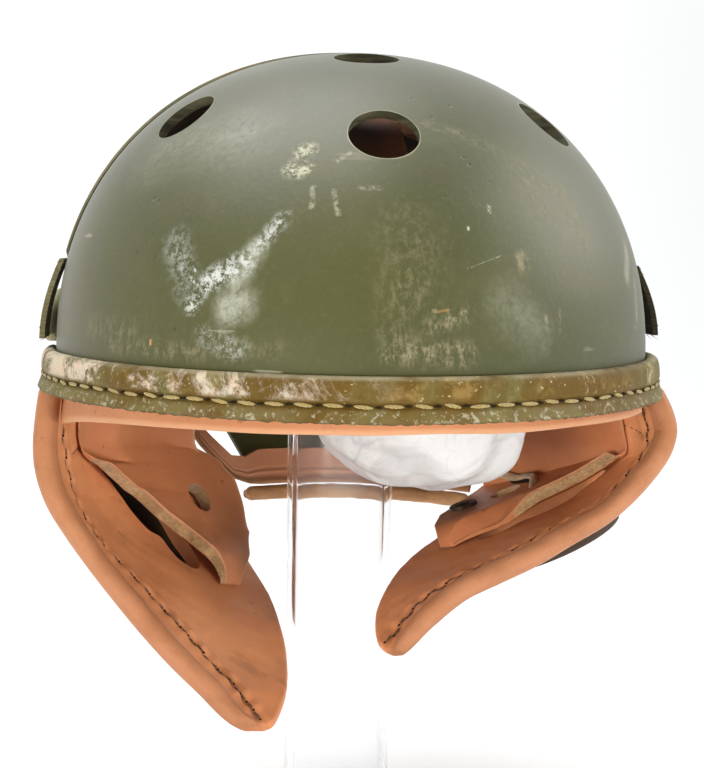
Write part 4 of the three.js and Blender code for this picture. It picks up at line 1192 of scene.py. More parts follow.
def brow_trim():
    """The roll and its flange in one section, swept round the front, with its saddle stitches."""
    stations = 420
    columns = 56
    turn = np.linspace(-QUARTER - TRIM_SWEEP, -QUARTER + TRIM_SWEEP, stations)[:, None]
    corners = [[row["out"], row["up"], 0.0] for row in TRIM_SECTION]
    outset, height, _ = through(corners, np.linspace(0, 1, columns)).T
    outside = np.arange(columns) < 42
    roll = smoothstep(height, -7.2, -5.5) * outside * smoothstep(outset, 0.8, 2.5)
    edge = smoothstep(-height, 8.8, 10.5) * outside
    groove = np.exp(-(((height - STITCH_LEVEL) / 0.8) ** 2)) * outside
    base = rim_point(turn, outset[None], height[None])
    lumps = 0.3 * ripple(base, 34, 3) + 0.14 * ripple(base, 9, 4)
    spine = base[:, 12]
    length = np.cumsum(np.linalg.norm(np.diff(spine, axis=0, prepend=spine[:1]), axis=1))
    pinch = np.exp(-(((height - STITCH_LEVEL) / 2.6) ** 2))
    puckers = np.sin(length * 2 * math.pi / STITCH_PITCH)[:, None] * 0.22 * pinch
    ragged = 0.3 * ripple(base, 2.4, 7) * smoothstep(-height, 12.4, 13.1)
    swell = (lumps + puckers - 0.5 * groove) * outside
    ends = tapered(stations, 6)
    middle = base.mean(1, keepdims=True)
    rings = rim_point(turn, outset[None] + np.minimum(swell, 0.35), height[None] + ragged)
    rings = middle + (rings - middle) * (0.55 + 0.45 * ends)[:, None, None]
    values = {
        "roll": roll,
        "flange_edge": edge,
        "groove": groove,
        "lip": smoothstep(height, -0.8, 0.4),
        "facing_front": smoothstep(-base[..., 1], 30, 105),
        "right_side": smoothstep(-base[..., 0], -10, 50),
        "hem": smoothstep(-height, 12.5, 13.2),
    }
    values = {label: np.broadcast_to(numbers, base.shape[:2]) for label, numbers in values.items()}
    piece = swept("brow_trim", rings, values=values)
    dress(piece, "trim", "olive_leather", "brow_roll")
    seam = -QUARTER + TRIM_SWEEP * np.linspace(-0.985, 0.985, 600)
    outward = rim_point(seam, 1.0, 0.0) - rim_point(seam, 0.0, 0.0)
    outward[:, 2] -= 0.1
    path = rim_point(seam, 4.85, STITCH_LEVEL)
    path[:, 2] += 0.25 * np.sin(np.linspace(0, 90, 600)) * np.sin(np.linspace(0, 31, 600))
    stitch_line(
        "brow_stitches", path, outward, "yellow_thread", "olive_leather",
        Pitch=STITCH_PITCH / 1000, Length=0.0066, Thickness=0.0013, Lift=0.0002,
        Slant=-0.08, Wander=0.13, Seed=5,
    )
    # Painted shade of the stitch holes between the stitches
    stitch_line(
        "brow_stitch_hole_shade", path, outward, "hole", "olive_leather",
        Pitch=STITCH_PITCH / 1000, Length=0.0023, Thickness=0.0009, Shift=STITCH_PITCH / 2000,
        Lift=0.0001, Wander=0.05, Seed=6,
    )


brow_trim()


# Lining inside the crown


def brow_lining():
    """A band inside the rim; only its front part hangs below the flange."""
    stations = 360
    turn = np.linspace(0, 2 * math.pi, stations, endpoint=False)
    from_front = np.abs(np.arctan2(np.cos(turn), -np.sin(turn)))
    half = math.radians(78)
    inward = np.clip((half + math.radians(5) - from_front) / math.radians(7), 0, 1)
    shown = np.sqrt(1 - (1 - inward) ** 2)
    side = np.where(np.cos(turn) < 0, LINING_DROP_RIGHT, LINING_DROP_LEFT)
    drop = LINING_DROP + (side - LINING_DROP) * (from_front / half) ** 3
    drop = -1.5 + (drop + 1.5) * shown
    edge = rim_point(turn, 0, 0)
    drop = drop + 0.3 * ripple(edge, 38, 11) * shown
    rim_inset = CROWN_WALL + CURVED_GAP
    low_inset = rim_inset + (2 * GAP - rim_inset) * shown
    neck = np.minimum(drop - GAP, -GAP)
    climb = math.radians(15)

    def face(depth):
        hang = np.linspace(1, 0, 10)[:, None]
        inset = low_inset + (rim_inset - low_inset) * (1 - hang)
        height = -drop * hang - neck * (1 - hang)
        lower = rim_point(turn, -inset - depth, height)
        upper = [crown_point(turn, climb * share, LINING_INSET + depth) for share in (0.3, 0.5, 0.75, 1)]
        return np.concatenate([lower, np.array(upper)])

    outside = face(0.0)
    inside = face(LINING_THICKNESS)
    round_edge = (outside[0] + inside[0]) / 2 - [0, 0, 0.25]
    rings = np.concatenate([round_edge[None], outside, inside[::-1]]).transpose(1, 0, 2)
    raw = np.zeros(rings.shape[:2])
    raw[:, [0, 1, -1]] = 0.45
    piece = swept("lining", rings, closed=True, values=russet_values(raw.shape, raw_edge=raw))
    dress(piece, "lining", "russet_leather", "brow_lining")


brow_lining()


# Cradle


def cradle_point(turn, climb, depth):
    sag = CRADLE_HANG * (climb / QUARTER) ** 1.5
    return crown_point(turn, climb, CRADLE_INSET + sag + depth)


def cradle_straps():
    """Six leather straps that rise from the lining to a ring under the top of the crown."""
    pieces = []
    for step in range(6):
        turn = (step + 0.5) / 6 * 2 * math.pi
        climb = np.linspace(math.radians(7.5), CRADLE_TOP, 40)
        middle = cradle_point(turn, climb, 0.15)
        inner = cradle_point(turn, climb, 1.85)
        side = unit(stack(-middle[:, 1], middle[:, 0], 0.0))
        shares = np.array([-1.0, -0.9, -0.5, 0.0, 0.5, 0.9, 1.0])
        outer_row = middle[:, None] + side[:, None] * (shares * 9.9)[None, :, None]
        inner_row = inner[:, None] + side[:, None] * (shares[::-1] * 9.9)[None, :, None]
        rings = np.concatenate([outer_row, inner_row], 1)
        raw = np.zeros(rings.shape[:2])
        raw[:, [0, 6, 7, 13]] = 0.8
        values = russet_values(raw.shape, raw_edge=raw)
        pieces.append(swept(f"cradle_strap_{step + 1}", rings, values=values))
    turn = np.linspace(0, 2 * math.pi, 96, endpoint=False)
    span = math.radians(4.5)
    section = [(-span, -0.4), (span, -0.4), (span, 2.4), (-span, 2.4)]
    ring = np.stack([cradle_point(turn, CRADLE_TOP + climb, depth) for climb, depth in section], 1)
    values = russet_values(ring.shape[:2], raw_edge=0.3)
    pieces.append(swept("cradle_ring", ring, closed=True, values=values))
    for piece in pieces:
        dress(piece, "cradle", "russet_leather")
    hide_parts("cradle")


cradle_straps()


# Neck guard, its binding and its lining

GUARD_EDGE = table(
    "from_back drop",
    (0, 1.0), (12, 0.99), (20, 0.94), (22.5, 0.85), (26, 0.66), (31, 0.5), (40, 0.34), (55, 0.2),
    (82, 0.12),
)
NECK_BAND = table(
    "from_back low high",
    (-43, 0.995, 0.775), (19, 0.995, 0.775), (23, 0.985, 0.815), (27, 0.95, 0.8), (30, 0.875, 0.725),
    (33, 0.8, 0.645), (35.5, 0.725, 0.565), (38, 0.62, 0.445), (39, 0.55, 0.38),
)
NECK_EDGE_TO = 24


def read(table, key, column, place):
    keys = [row[key] for row in table]
    return np.interp(place, keys, [row[column] for row in table])


def guard_tuck(height):
    """How far the guard's low part is drawn in toward the neck."""
    return GUARD_TUCK * (np.maximum(0, -height) / GUARD_DROP) ** 1.6


def guard_rise(from_back):
    """The guard's top edge runs level round the back and dips toward its front ends."""
    return GUARD_RISE - 10 * smoothstep(np.abs(from_back), 50, GUARD_SWEEP)


def neck_guard():
    """The hard guard, from its level top edge down to its cut lower edge."""
    from_back = np.linspace(-GUARD_SWEEP, GUARD_SWEEP, 200)
    turn = QUARTER + np.radians(from_back)
    low = GUARD_DROP * read(GUARD_EDGE, "from_back", "drop", np.abs(from_back))

    def sheet(depth):
        rows = []
        for level in np.linspace(0, 1, 26):
            height = guard_rise(from_back) + (-low - guard_rise(from_back)) * level
            hug = CURVED_GAP + GUARD_WALL - depth
            climb = np.arcsin(np.clip(height / CROWN_HEIGHT, 0, 1) ** (PROFILE_POWER / 2))
            upper = crown_point(turn, climb, -hug)
            upper[:, 2] = np.minimum(upper[:, 2], np.maximum(height, 0) * 1.04 + 0.5)
            lower = rim_point(turn, hug - guard_tuck(height), height)
            rows.append(np.where((height > 0)[:, None], upper, lower))
        return np.array(rows)

    outside = sheet(0.0)
    inside = sheet(GUARD_WALL)
    rings = np.concatenate([outside, inside[::-1]]).transpose(1, 0, 2)
    piece = swept("guard", rings)
    sharpen(piece, 55)
    dress(piece, "guard", "olive_paint", "neck_guard")


neck_guard()


def guard_binding():
    """A leather roll along the guard's top edge that turns down at both front ends."""
    radius = BINDING_DIAMETER / 2
    clear = radius + CURVED_GAP

    def over(from_back, height):
        turn = QUARTER + math.radians(from_back)
        if height > 0:
            climb = math.asin((height / CROWN_HEIGHT) ** (PROFILE_POWER / 2))
            return crown_point(turn, climb, -clear)
        return rim_point(turn, clear, height)

    end = GUARD_SWEEP + math.degrees(clear / HALF_WIDTH)

    def top(from_back):
        return clear + guard_rise(from_back)

    right = [over(-end, 1.5), over(-end, 6.0), over(-end + 1, top(end) - 1.5)]
    left = [over(end - 1, top(end) - 1.5), over(end, 6.0), over(end, 1.5)]
    route = right + [over(place, top(place)) for place in range(-72, 73, 12)] + left
    stations = 260
    path = through(route, np.linspace(0, 1, stations))
    outward = crown_normal(path)
    ends = tapered(stations, 5)
    fuller = smoothstep(60 - np.arange(stations), 0, 30)
    path = path + outward * (0.9 * fuller)[:, None]
    rings = tube_rings(path, outward, radius * (0.5 + 0.46 * ends + 0.18 * fuller * ends), 22)
    rings += outward[:, None] * (0.22 * ripple(rings, 12, 21))[..., None]
    dress(swept("guard_binding", rings), "binding", "olive_leather", "neck_guard_binding")


guard_binding()


def neck_band():
    """The leather band inside the guard's low part, and the roll along its lower edge."""
    from_back = np.linspace(NECK_BAND[0]["from_back"], NECK_BAND[-1]["from_back"], 170)
    turn = QUARTER + np.radians(from_back)
    low = GUARD_DROP * read(NECK_BAND, "from_back", "low", from_back)
    high = GUARD_DROP * read(NECK_BAND, "from_back", "high", from_back)

    def sheet(depth, wavy):
        rows = []
        for level in np.linspace(0, 1, 14):
            height = -(low + (high - low) * level)
            row = rim_point(turn, -GAP - depth - guard_tuck(height), height)
            fold = 0.6 * np.exp(-(((level - 0.25) / 0.08) ** 2)) * wavy
            row += unit(row * [1, 1, 0]) * (fold + 0.25 * wavy * ripple(row, 16, 31))[:, None]
            rows.append(row)
        return np.array(rows)

    outside = sheet(0.1, 0.0)
    inside = sheet(NECK_BAND_THICKNESS, 1.0)
    rings = np.concatenate([outside, inside[::-1]]).transpose(1, 0, 2)
    level = np.concatenate([np.linspace(0, 1, 14), np.linspace(1, 0, 14)])
    values = {"level": np.broadcast_to(level, rings.shape[:2])}
    piece = swept("neck_band", rings, values=values)
    sharpen(piece, 60)
    dress(piece, "neck", "russet_leather", "neck_lining")

    radius = NECK_ROLL_DIAMETER / 2
    stations = 160
    from_back = np.linspace(NECK_BAND[0]["from_back"], NECK_EDGE_TO, stations)
    turn = QUARTER + np.radians(from_back)
    height = -GUARD_DROP - radius - GAP
    path = rim_point(turn, GUARD_WALL / 2 - 1.1 - guard_tuck(height), height)
    outward = unit(path * [1, 1, 0])
    rings = tube_rings(path, outward, radius * (0.55 + 0.42 * tapered(stations, 4)), 20)
    rings += 0.18 * ripple(rings, 8, 33)[..., None] * [0, 0, 1]
    dress(swept("neck_roll", rings), "tan", "tan_leather", "neck_edge")


neck_band()


# Ear flaps: each row runs across the flap from its front to its rear edge, as shares of the
# crown's half width and reach and of the flap's drop, and the rows go from the rim to the tip

FLAP_COLUMNS = "out back down rear_out rear_back rear_down bow"
RIGHT = {"name": "right", "side": -1, "rows": table(
    FLAP_COLUMNS,
    (1.014, -0.21, 0.096, 0.68, 0.66, 0.1, 0.06),
    (1.024, -0.22, 0.186, 0.6, 0.77, 0.35, 0.1),
    (1.019, -0.25, 0.296, 0.46, 0.82, 0.47, 0.14),
    (0.984, -0.27, 0.386, 0.4, 0.79, 0.59, 0.15),
    (0.914, -0.3, 0.476, 0.37, 0.69, 0.69, 0.14),
    (0.844, -0.32, 0.556, 0.3, 0.57, 0.765, 0.12),
    (0.764, -0.35, 0.636, 0.24, 0.41, 0.83, 0.1),
    (0.684, -0.37, 0.716, 0.21, 0.22, 0.89, 0.08),
    (0.594, -0.39, 0.796, 0.205, 0.07, 0.94, 0.06),
    (0.494, -0.4, 0.876, 0.22, -0.12, 0.975, 0.04),
    (0.414, -0.41, 0.946, 0.26, -0.28, 1.0, 0.02),
    (0.344, -0.4, 0.986, 0.29, -0.35, 1.01, 0.01),
)}
LEFT = {"name": "left", "side": 1, "rows": table(
    FLAP_COLUMNS,
    (1.026, -0.21, 0.125, 0.66, 0.7, 0.1, 0.06),
    (1.061, -0.22, 0.172, 0.68, 0.72, 0.35, 0.1),
    (1.036, -0.25, 0.242, 0.69, 0.7, 0.54, 0.14),
    (0.946, -0.28, 0.337, 0.57, 0.6, 0.6, 0.15),
    (0.826, -0.31, 0.422, 0.46, 0.49, 0.63, 0.13),
    (0.696, -0.33, 0.482, 0.35, 0.38, 0.655, 0.11),
    (0.576, -0.345, 0.537, 0.27, 0.28, 0.675, 0.09),
    (0.446, -0.36, 0.582, 0.2, 0.17, 0.7, 0.07),
    (0.336, -0.37, 0.622, 0.14, 0.02, 0.72, 0.05),
    (0.226, -0.39, 0.69, 0.09, -0.12, 0.755, 0.03),
    (0.146, -0.4, 0.76, 0.075, -0.25, 0.79, 0.02),
    (0.116, -0.385, 0.795, 0.09, -0.33, 0.81, 0.01),
)}

EAR_OPENING = [
    (0.44, 0.2), (0.5, 0.25), (0.54, 0.3), (0.59, 0.35), (0.64, 0.38), (0.64, 0.44), (0.68, 0.47),
    (0.73, 0.46), (0.76, 0.4), (0.74, 0.32), (0.68, 0.25), (0.58, 0.2), (0.5, 0.18),
]
PAD_ROWS = table(
    "along right left to",
    (0.03, 0.29, 0.27, 1.0), (0.1, 0.29, 0.27, 1.0), (0.16, 0.31, 0.29, 1.0), (0.2, 0.385, 0.33, 1.0),
    (0.24, 0.455, 0.38, 1.0), (0.305, 0.545, 0.45, 1.0), (0.38, 0.638, 0.55, 1.0),
    (0.46, 0.703, 0.67, 0.93), (0.52, 0.78, 0.78, 0.85),
)
PAD_HOLE_PLACE = (0.815, 0.285)
CUP_PLACE = (0.6, 0.34)
SNAP_PLACE = (0.88, 0.386)

# Stitch lines and cross seams on each flap's grid: across from the front edge, along from the rim
RIGHT["stitches"] = [
    (0.17, 0.05), (0.175, 0.1), (0.172, 0.236), (0.16, 0.375), (0.19, 0.5), (0.246, 0.63),
    (0.32, 0.75), (0.419, 0.863), (0.55, 0.92),
]
LEFT["stitches"] = [
    (0.13, 0.05), (0.135, 0.12), (0.14, 0.236), (0.16, 0.375), (0.2, 0.5), (0.25, 0.63),
    (0.32, 0.75), (0.42, 0.863), (0.55, 0.92),
]
RIGHT["seam"] = [(0.55, 0.09), (0.4, 0.125), (0.25, 0.16)]
LEFT["seam"] = [(0.42, 0.07), (0.3, 0.1), (0.16, 0.13)]
STITCH_LIFT = 0.95


def inside_guard(spots):
    x, y, z = spots[..., 0], spots[..., 1], spots[..., 2]
    reach = np.where(y < 0, FRONT_REACH, BACK_REACH)
    across = np.abs(x) / HALF_WIDTH
    along = np.abs(y) / reach
    outline = (across**PLAN_POWER + along**PLAN_POWER) ** (1 / PLAN_POWER)
    rearward = power(y / reach, PLAN_POWER / 2)
    from_back = np.degrees(np.arctan2(across ** (PLAN_POWER / 2), rearward))
    low = GUARD_DROP * read(GUARD_EDGE, "from_back", "drop", from_back)
    beside = smoothstep(from_back, GUARD_SWEEP + 2, GUARD_SWEEP + 10)
    hold = (1 - smoothstep(-z - low, 2, 30)) * (1 - beside)
    limit = 1 - (FLAP_THICKNESS / 2 + CURVED_GAP + guard_tuck(z)) / HALF_WIDTH
    draw = np.where(outline > limit, 1 + (limit / np.maximum(outline, 1e-6) - 1) * hold, 1.0)
    return stack(x * draw, y * draw, z)


def flap_edge(flap, out, back, down, along):
    corners = []
    for row in flap["rows"]:
        reach = FRONT_REACH if row[back] < 0 else BACK_REACH
        corners.append([flap["side"] * row[out] * HALF_WIDTH, row[back] * reach, -row[down] * FLAP_DROP])
    return through(corners, along)


def flap_top(flap, across):
    first = flap["rows"][0]
    share = first["back"] + (first["rear_back"] - first["back"]) * across
    turn = np.arcsin(np.clip(power(share, PLAN_POWER / 2), -1, 1))
    behind = smoothstep(share, 0.14, 0.24)
    under_flange = 2.4
    outset = under_flange + (-FLAP_THICKNESS / 2 - GAP - under_flange) * behind
    under = FLANGE_DROP - 1.2
    drop = under + (2 * CURVED_GAP - under) * behind
    top = rim_point(turn, outset, -drop)
    return top * [flap["side"], 1, 1]


def flap_middle(flap, across, along):
    across, along = np.broadcast_arrays(np.asarray(across, float), np.asarray(along, float))
    start = flap_edge(flap, "out", "back", "down", along)
    end = flap_edge(flap, "rear_out", "rear_back", "rear_down", along)
    chord = end - start
    turned = np.where(chord[..., 1] == 0, 1.0, np.sign(chord[..., 1]))
    side = flap["side"]
    outward = unit(stack(side * np.abs(chord[..., 1]), -side * chord[..., 0] * turned, 0.0))
    bows = [row["bow"] for row in flap["rows"]]
    bow = np.interp(along * (len(bows) - 1), range(len(bows)), bows)
    bulge = 4 * across * (1 - across) * bow * HALF_WIDTH
    hanging = start + chord * across[..., None] + outward * bulge[..., None]
    held = smoothstep(along, 0, 0.14)[..., None]
    return inside_guard(flap_top(flap, across) * (1 - held) + hanging * held)


def flap_normal(flap, across, along):
    """Inward, square to the flap's middle surface."""
    step = 0.01
    a = np.clip(across, step, 1 - step)
    b = np.clip(along, step, 1 - step)
    rearward = flap_middle(flap, a + step, b) - flap_middle(flap, a - step, b)
    downward = flap_middle(flap, a, b + step) - flap_middle(flap, a, b - step)
    return unit(np.cross(rearward, downward)) * flap["side"]


def flap_point(flap, across, along, depth):
    across, along, depth = np.broadcast_arrays(across, along, depth)
    return flap_middle(flap, across, along) + flap_normal(flap, across, along) * depth[..., None]


def grid_path(flap, corners, count, depth):
    """A path over the flap through places on its grid, with the inward direction there."""
    places = through([(a, b, 0.0) for a, b in corners], np.linspace(0, 1, count))
    across = np.clip(places[:, 0], 0, 1)
    along = np.clip(places[:, 1], 0, 1)
    return flap_point(flap, across, along, depth), flap_normal(flap, across, along)


def leather_relief(points, near, reach, cross):
    """How far the padded face swells, from the distances to its stitch line and cross seam."""
    groove = np.exp(-((near / 1.2) ** 2))
    welt = np.exp(-(((near - 4.5) / 2.6) ** 2))
    wave = np.sin(reach * 2 * math.pi / 7.5 + 2 * ripple(points, 40, 41))
    pucker = wave * np.exp(-((near / 6.5) ** 2))
    creases = np.clip(ripple(points, 15, 42) - 0.5, 0, 2) * np.exp(-((near / 16) ** 2))
    soft = 0.4 * ripple(points, 55, 43) + 0.25 * ripple(points, 20, 44) + 0.1 * ripple(points, 8, 46)
    pinch = np.exp(-((cross / 1.0) ** 2))
    swell = 0.55 * welt - 1.2 * groove + 0.42 * pucker - 1.0 * creases + soft - 0.8 * pinch
    return swell, groove, creases


# Half thickness of the rolled front edge, as a share of the bead's, by millimetres from the edge
BEAD_SECTION = table(
    "from_edge half",
    (0, 0.1), (0.15, 0.28), (0.5, 0.48), (1.2, 0.7), (2.5, 0.9), (4, 1), (5.5, 0.94), (7, 0.8), (10, 0.72),
)
BEAD_STATIONS = np.array([0, 0.15, 0.5, 1.0, 1.7, 2.5, 3.5, 4.6, 5.8, 7.0, 8.2, 9.4, 11.0])


def flap_skin(flap):
    """Points of the flap's padded slab, ring by ring, and the values its finish reads."""
    along = np.linspace(0, 1, 190)[:, None]
    span = flap_middle(flap, np.ones_like(along), along) - flap_middle(flap, np.zeros_like(along), along)
    width = np.linalg.norm(span, axis=-1)
    fit = np.minimum(1, width / 40)
    profile = read(BEAD_SECTION, "from_edge", "half", BEAD_STATIONS)
    front = BEAD_STATIONS[None] * fit / width
    start = front[:, -1:]
    shares = np.linspace(0, 1, 62)[None, 1:]
    rest = start + (1 - start) * shares
    rear_gap = (1 - rest) * width
    plain = FLAP_THICKNESS / 2 * fit**0.5
    half_front = profile[None] * BEAD_THICKNESS / 2 * fit**0.5
    ease = smoothstep(shares, 0, 0.12)
    half_rest = half_front[:, -1:] * (1 - ease) + plain * ease
    rounding = np.sqrt(np.clip(1 - (1 - np.clip(rear_gap / 2.4, 0, 1)) ** 2, 0, 1))
    half_rest = np.maximum(half_rest * rounding, 0.15)
    across = np.concatenate([front, rest], 1)
    half = np.concatenate([half_front, half_rest], 1)
    rounded = np.sqrt(1 - 0.985 * np.clip((along - 0.94) / 0.06, 0, 1) ** 2)
    across = 0.5 + (np.clip(across, 0, 1) - 0.5) * rounded
    half = half * (0.3 + 0.7 * np.minimum(smoothstep(along, 0, 0.06), smoothstep(1 - along, -0.01, 0.03)))

    path, _ = grid_path(flap, flap["stitches"], 900, FLAP_THICKNESS / 2)
    seam, _ = grid_path(flap, flap["seam"], 200, FLAP_THICKNESS / 2)
    inner = flap_point(flap, across, along, half)
    near, reach = nearest(inner, path)
    cross, _ = nearest(inner, seam)
    swell, groove, creases = leather_relief(inner, near, reach, cross)
    fade = np.clip(half / 2.0, 0, 1)
    inner = flap_point(flap, across, along, half + swell * fade)
    outer = flap_point(flap, across, along, -half + 0.3 * ripple(inner, 60, 45) * fade)
    rings = np.concatenate([inner, outer[:, ::-1]], 1)
    # Darker beside the stitch line and along the cross seam, and in the creases as painted shade
    beside = np.exp(-((near / 2.4) ** 2)) + 0.4 * np.exp(-((near / 7) ** 2))
    smudged_and_crease_shade = np.clip(beside + 0.8 * np.exp(-((cross / 1.6) ** 2)) + creases, 0, 1)
    # The band along the front bead that the finish darkens as painted shade
    stretched = np.exp(-((across * width / 6.5) ** 2)) * 0.8
    blank = np.zeros_like(half)
    return rings, russet_values(
        rings.shape[:2],
        seam=np.concatenate([smudged_and_crease_shade, blank], 1),
        stretched=np.concatenate([stretched, stretched[:, ::-1]], 1),
        shade=np.concatenate([0.55 * groove * fade, blank], 1),
    )


def opening_tool(flap):
    """A closed plug the shape of the ear opening, thick enough to pass through the flap."""
    corners = np.array(EAR_OPENING)
    loop = np.vstack([corners, corners[:1]])
    dense = through(np.column_stack([loop, np.zeros(len(loop))]), np.linspace(0, 1, 97))[:-1, :2]
    heart = corners.mean(0)
    rings = []
    for spread, depth in ((0.1, -9), (0.5, -9), (1, -9), (1, 0), (1, 9), (0.5, 9), (0.1, 9)):
        place = heart + (dense - heart) * spread
        rings.append(flap_point(flap, place[:, 0], place[:, 1], float(depth)))
    return swept("opening_tool", np.array(rings))


def ear_flap(flap):
    rings, values = flap_skin(flap)
    piece = swept(f"flap_{flap['name']}", rings, values=values)
    cut_away(piece, opening_tool(flap))
    piece.data.shade_smooth()
    sharpen(piece, 50)
    dress(piece, "flap", "russet_leather", f"ear_flap_{flap['name']}")


def flap_stitches(flap, seed):
    """Stitches that lie in the groove of the padded face, and painted shade for the holes between them."""
    name = f"flap_{flap['name']}"
    count = 500
    base, inward = grid_path(flap, flap["stitches"], count, FLAP_THICKNESS / 2)
    steps = np.linalg.norm(np.diff(base, axis=0, prepend=base[:1]), axis=1)
    swell, _, _ = leather_relief(base, np.zeros(count), np.cumsum(steps), np.full(count, 99.0))
    path = base + inward * (swell + STITCH_LIFT)[:, None]
    stitch_line(
        f"{name}_stitches", path, inward, "brown_thread", "russet_leather",
        Pitch=0.0042, Length=0.003, Thickness=0.0009, Lift=0.0001, Wander=0.12, Seed=seed,
    )
    # Painted shade of the stitch holes between the stitches
    stitch_line(
        f"{name}_stitch_hole_shade", path, inward, "hole", "russet_leather",
        Pitch=0.0042, Length=0.0012, Thickness=0.0008, Shift=0.0021, Seed=seed + 1,
    )
    path, inward = grid_path(flap, flap["seam"], 120, FLAP_THICKNESS / 2 - 0.55)
    stitch_line(
        f"{name}_seam_stitches", path, inward, "brown_thread", "russet_leather",
        Pitch=0.003, Length=0.0026, Thickness=0.0006, Wander=0.1, Seed=seed + 2,
    )


for flap, seed in ((RIGHT, 50), (LEFT, 60)):
    ear_flap(flap)
    flap_stitches(flap, seed)


# Inner pads with their raw felt edge


def pad_face(share, along):
    free = smoothstep(along, 0.1, 0.36)
    return FLAP_THICKNESS / 2 + PAD_STANDOFF + PAD_LIFT * free * (1 - share)


def pad_grid(flap, shares, rows):
    along = np.linspace(PAD_ROWS[0]["along"], PAD_ROWS[-1]["along"], rows)[:, None]
    start = read(PAD_ROWS, "along", flap["name"], along)
    end = read(PAD_ROWS, "along", "to", along)
    across = start + (end - start) * shares[None]
    return across, along + 0 * across


# The pad's grid and the rows of its felt wall
PAD_COLUMNS = 46
PAD_LINES = 90
FELT_ROWS = 9


def ear_pad(flap):
    """A leather face and back with felt between them; the felt shows along the free edge."""
    name = f"pad_{flap['name']}"
    body = np.linspace(0, 1, PAD_COLUMNS)
    across, along = pad_grid(flap, body, PAD_LINES)
    freed = smoothstep(along, 0.14, 0.2)
    if flap["side"] > 0:
        freed = freed * (1 - 0.75 * smoothstep(along, 0.36, 0.44))
    lifted = np.maximum(freed, smoothstep(body[None], 0.0, 0.3))
    flush = FLAP_THICKNESS / 2 + 0.9
    raised = pad_face(body[None], along)
    low_end = np.clip((along - PAD_ROWS[-1]["along"] + 0.06) / 0.06, 0, 1)
    base = flush + (raised - flush) * lifted * (1 - low_end**2)
    depth = 0.7 + (PAD_THICKNESS - 0.7) * lifted
    depth = depth * np.sqrt(1 - 0.98 * low_end**2)
    spots = flap_point(flap, across, along, base)
    drape = 0.35 * ripple(spots, 45, 71) + 0.12 * ripple(spots, 18, 72)
    edge = np.minimum(smoothstep(body, -0.002, 0.03), smoothstep(1 - body, -0.002, 0.03))[None]
    face = flap_point(flap, across, along, base + depth - 0.2 + drape * edge)
    back = flap_point(flap, across, along, base + 0.1)

    def wall(column, bulge, spread):
        rows = []
        for level in np.linspace(0.82, 0.18, FELT_ROWS):
            place = flap_point(
                flap, across[:, column], along[:, column], base[:, column] + depth[:, column] * level
            )
            out = unit(spots[:, column] - spots[:, column + (1 if column == 0 else -1)])
            wave = 0.35 * ripple(place, 7, 73) + 0.25 * ripple(place, 3, 74) - 0.12
            push = bulge * np.sin(math.pi * level) + wave + spread * (1 - level)
            rows.append(place + out * (push * freed[:, 0])[:, None])
        return np.array(rows).transpose(1, 0, 2)

    rear = wall(-1, 0.3, 0.0)
    front = wall(0, 0.5, 3.2)[:, ::-1]
    rings = np.concatenate([face, rear, back[:, ::-1], front], 1)
    count = rings.shape[1]
    blank = np.zeros(rings.shape[:2])
    cut_edge = blank.copy()
    cut_edge[:, [0, PAD_COLUMNS - 1]] = 0.8
    column = np.arange(count)
    back_start = PAD_COLUMNS + FELT_ROWS
    front_start = back_start + PAD_COLUMNS
    shade = blank + ((column >= back_start) & (column < front_start)) * 0.2
    # A corner of the pad near the snap takes the same darker tone as the flaps' bead
    corner = np.exp(-(((along[:, -1:] - 0.4) / 0.12) ** 2)) * smoothstep(column[None], 22, PAD_COLUMNS - 1)
    pale = blank + corner * (column[None] < PAD_COLUMNS) * 0.5
    values = russet_values(blank.shape, raw_edge=cut_edge, stretched=pale, shade=shade)
    piece = swept(name, rings, values=values)
    for label in ("pad", "felt"):
        piece.data.materials.append(finishes[label])
    kinds = np.zeros(len(piece.data.polygons), int)
    number = np.arange((PAD_LINES - 1) * count)
    column = number % count
    walls = np.zeros(len(number), bool)
    for start in (PAD_COLUMNS, front_start):
        walls |= (column >= start) & (column < start + FELT_ROWS - 1)
    kinds[: len(number)] = walls & (freed[number // count, 0] > 0.5)
    piece.data.polygons.foreach_set("material_index", kinds)
    normal = flap_normal(flap, *PAD_HOLE_PLACE)
    middle = flap_point(flap, *PAD_HOLE_PLACE, FLAP_THICKNESS / 2 + PAD_STANDOFF + PAD_THICKNESS / 2 + 1)
    cut_away(piece, drill("hole_tool", [(middle, normal)], PAD_HOLE, 48, ("pad", "felt")))
    piece.data.shade_smooth()
    sharpen(piece, 48)
    dress(piece, ["pad", "felt"], "russet_leather", f"ear_{name}")
    strip = build(f"{name}_felt_fibres", front, grid_faces(*front.shape[:2], wrap_columns=False)[0])
    fray(strip, "felt", "russet_leather", Density=2.6e6, Length=0.0016, Thickness=0.00006, Seed=77)


ear_pad(RIGHT)
ear_pad(LEFT)


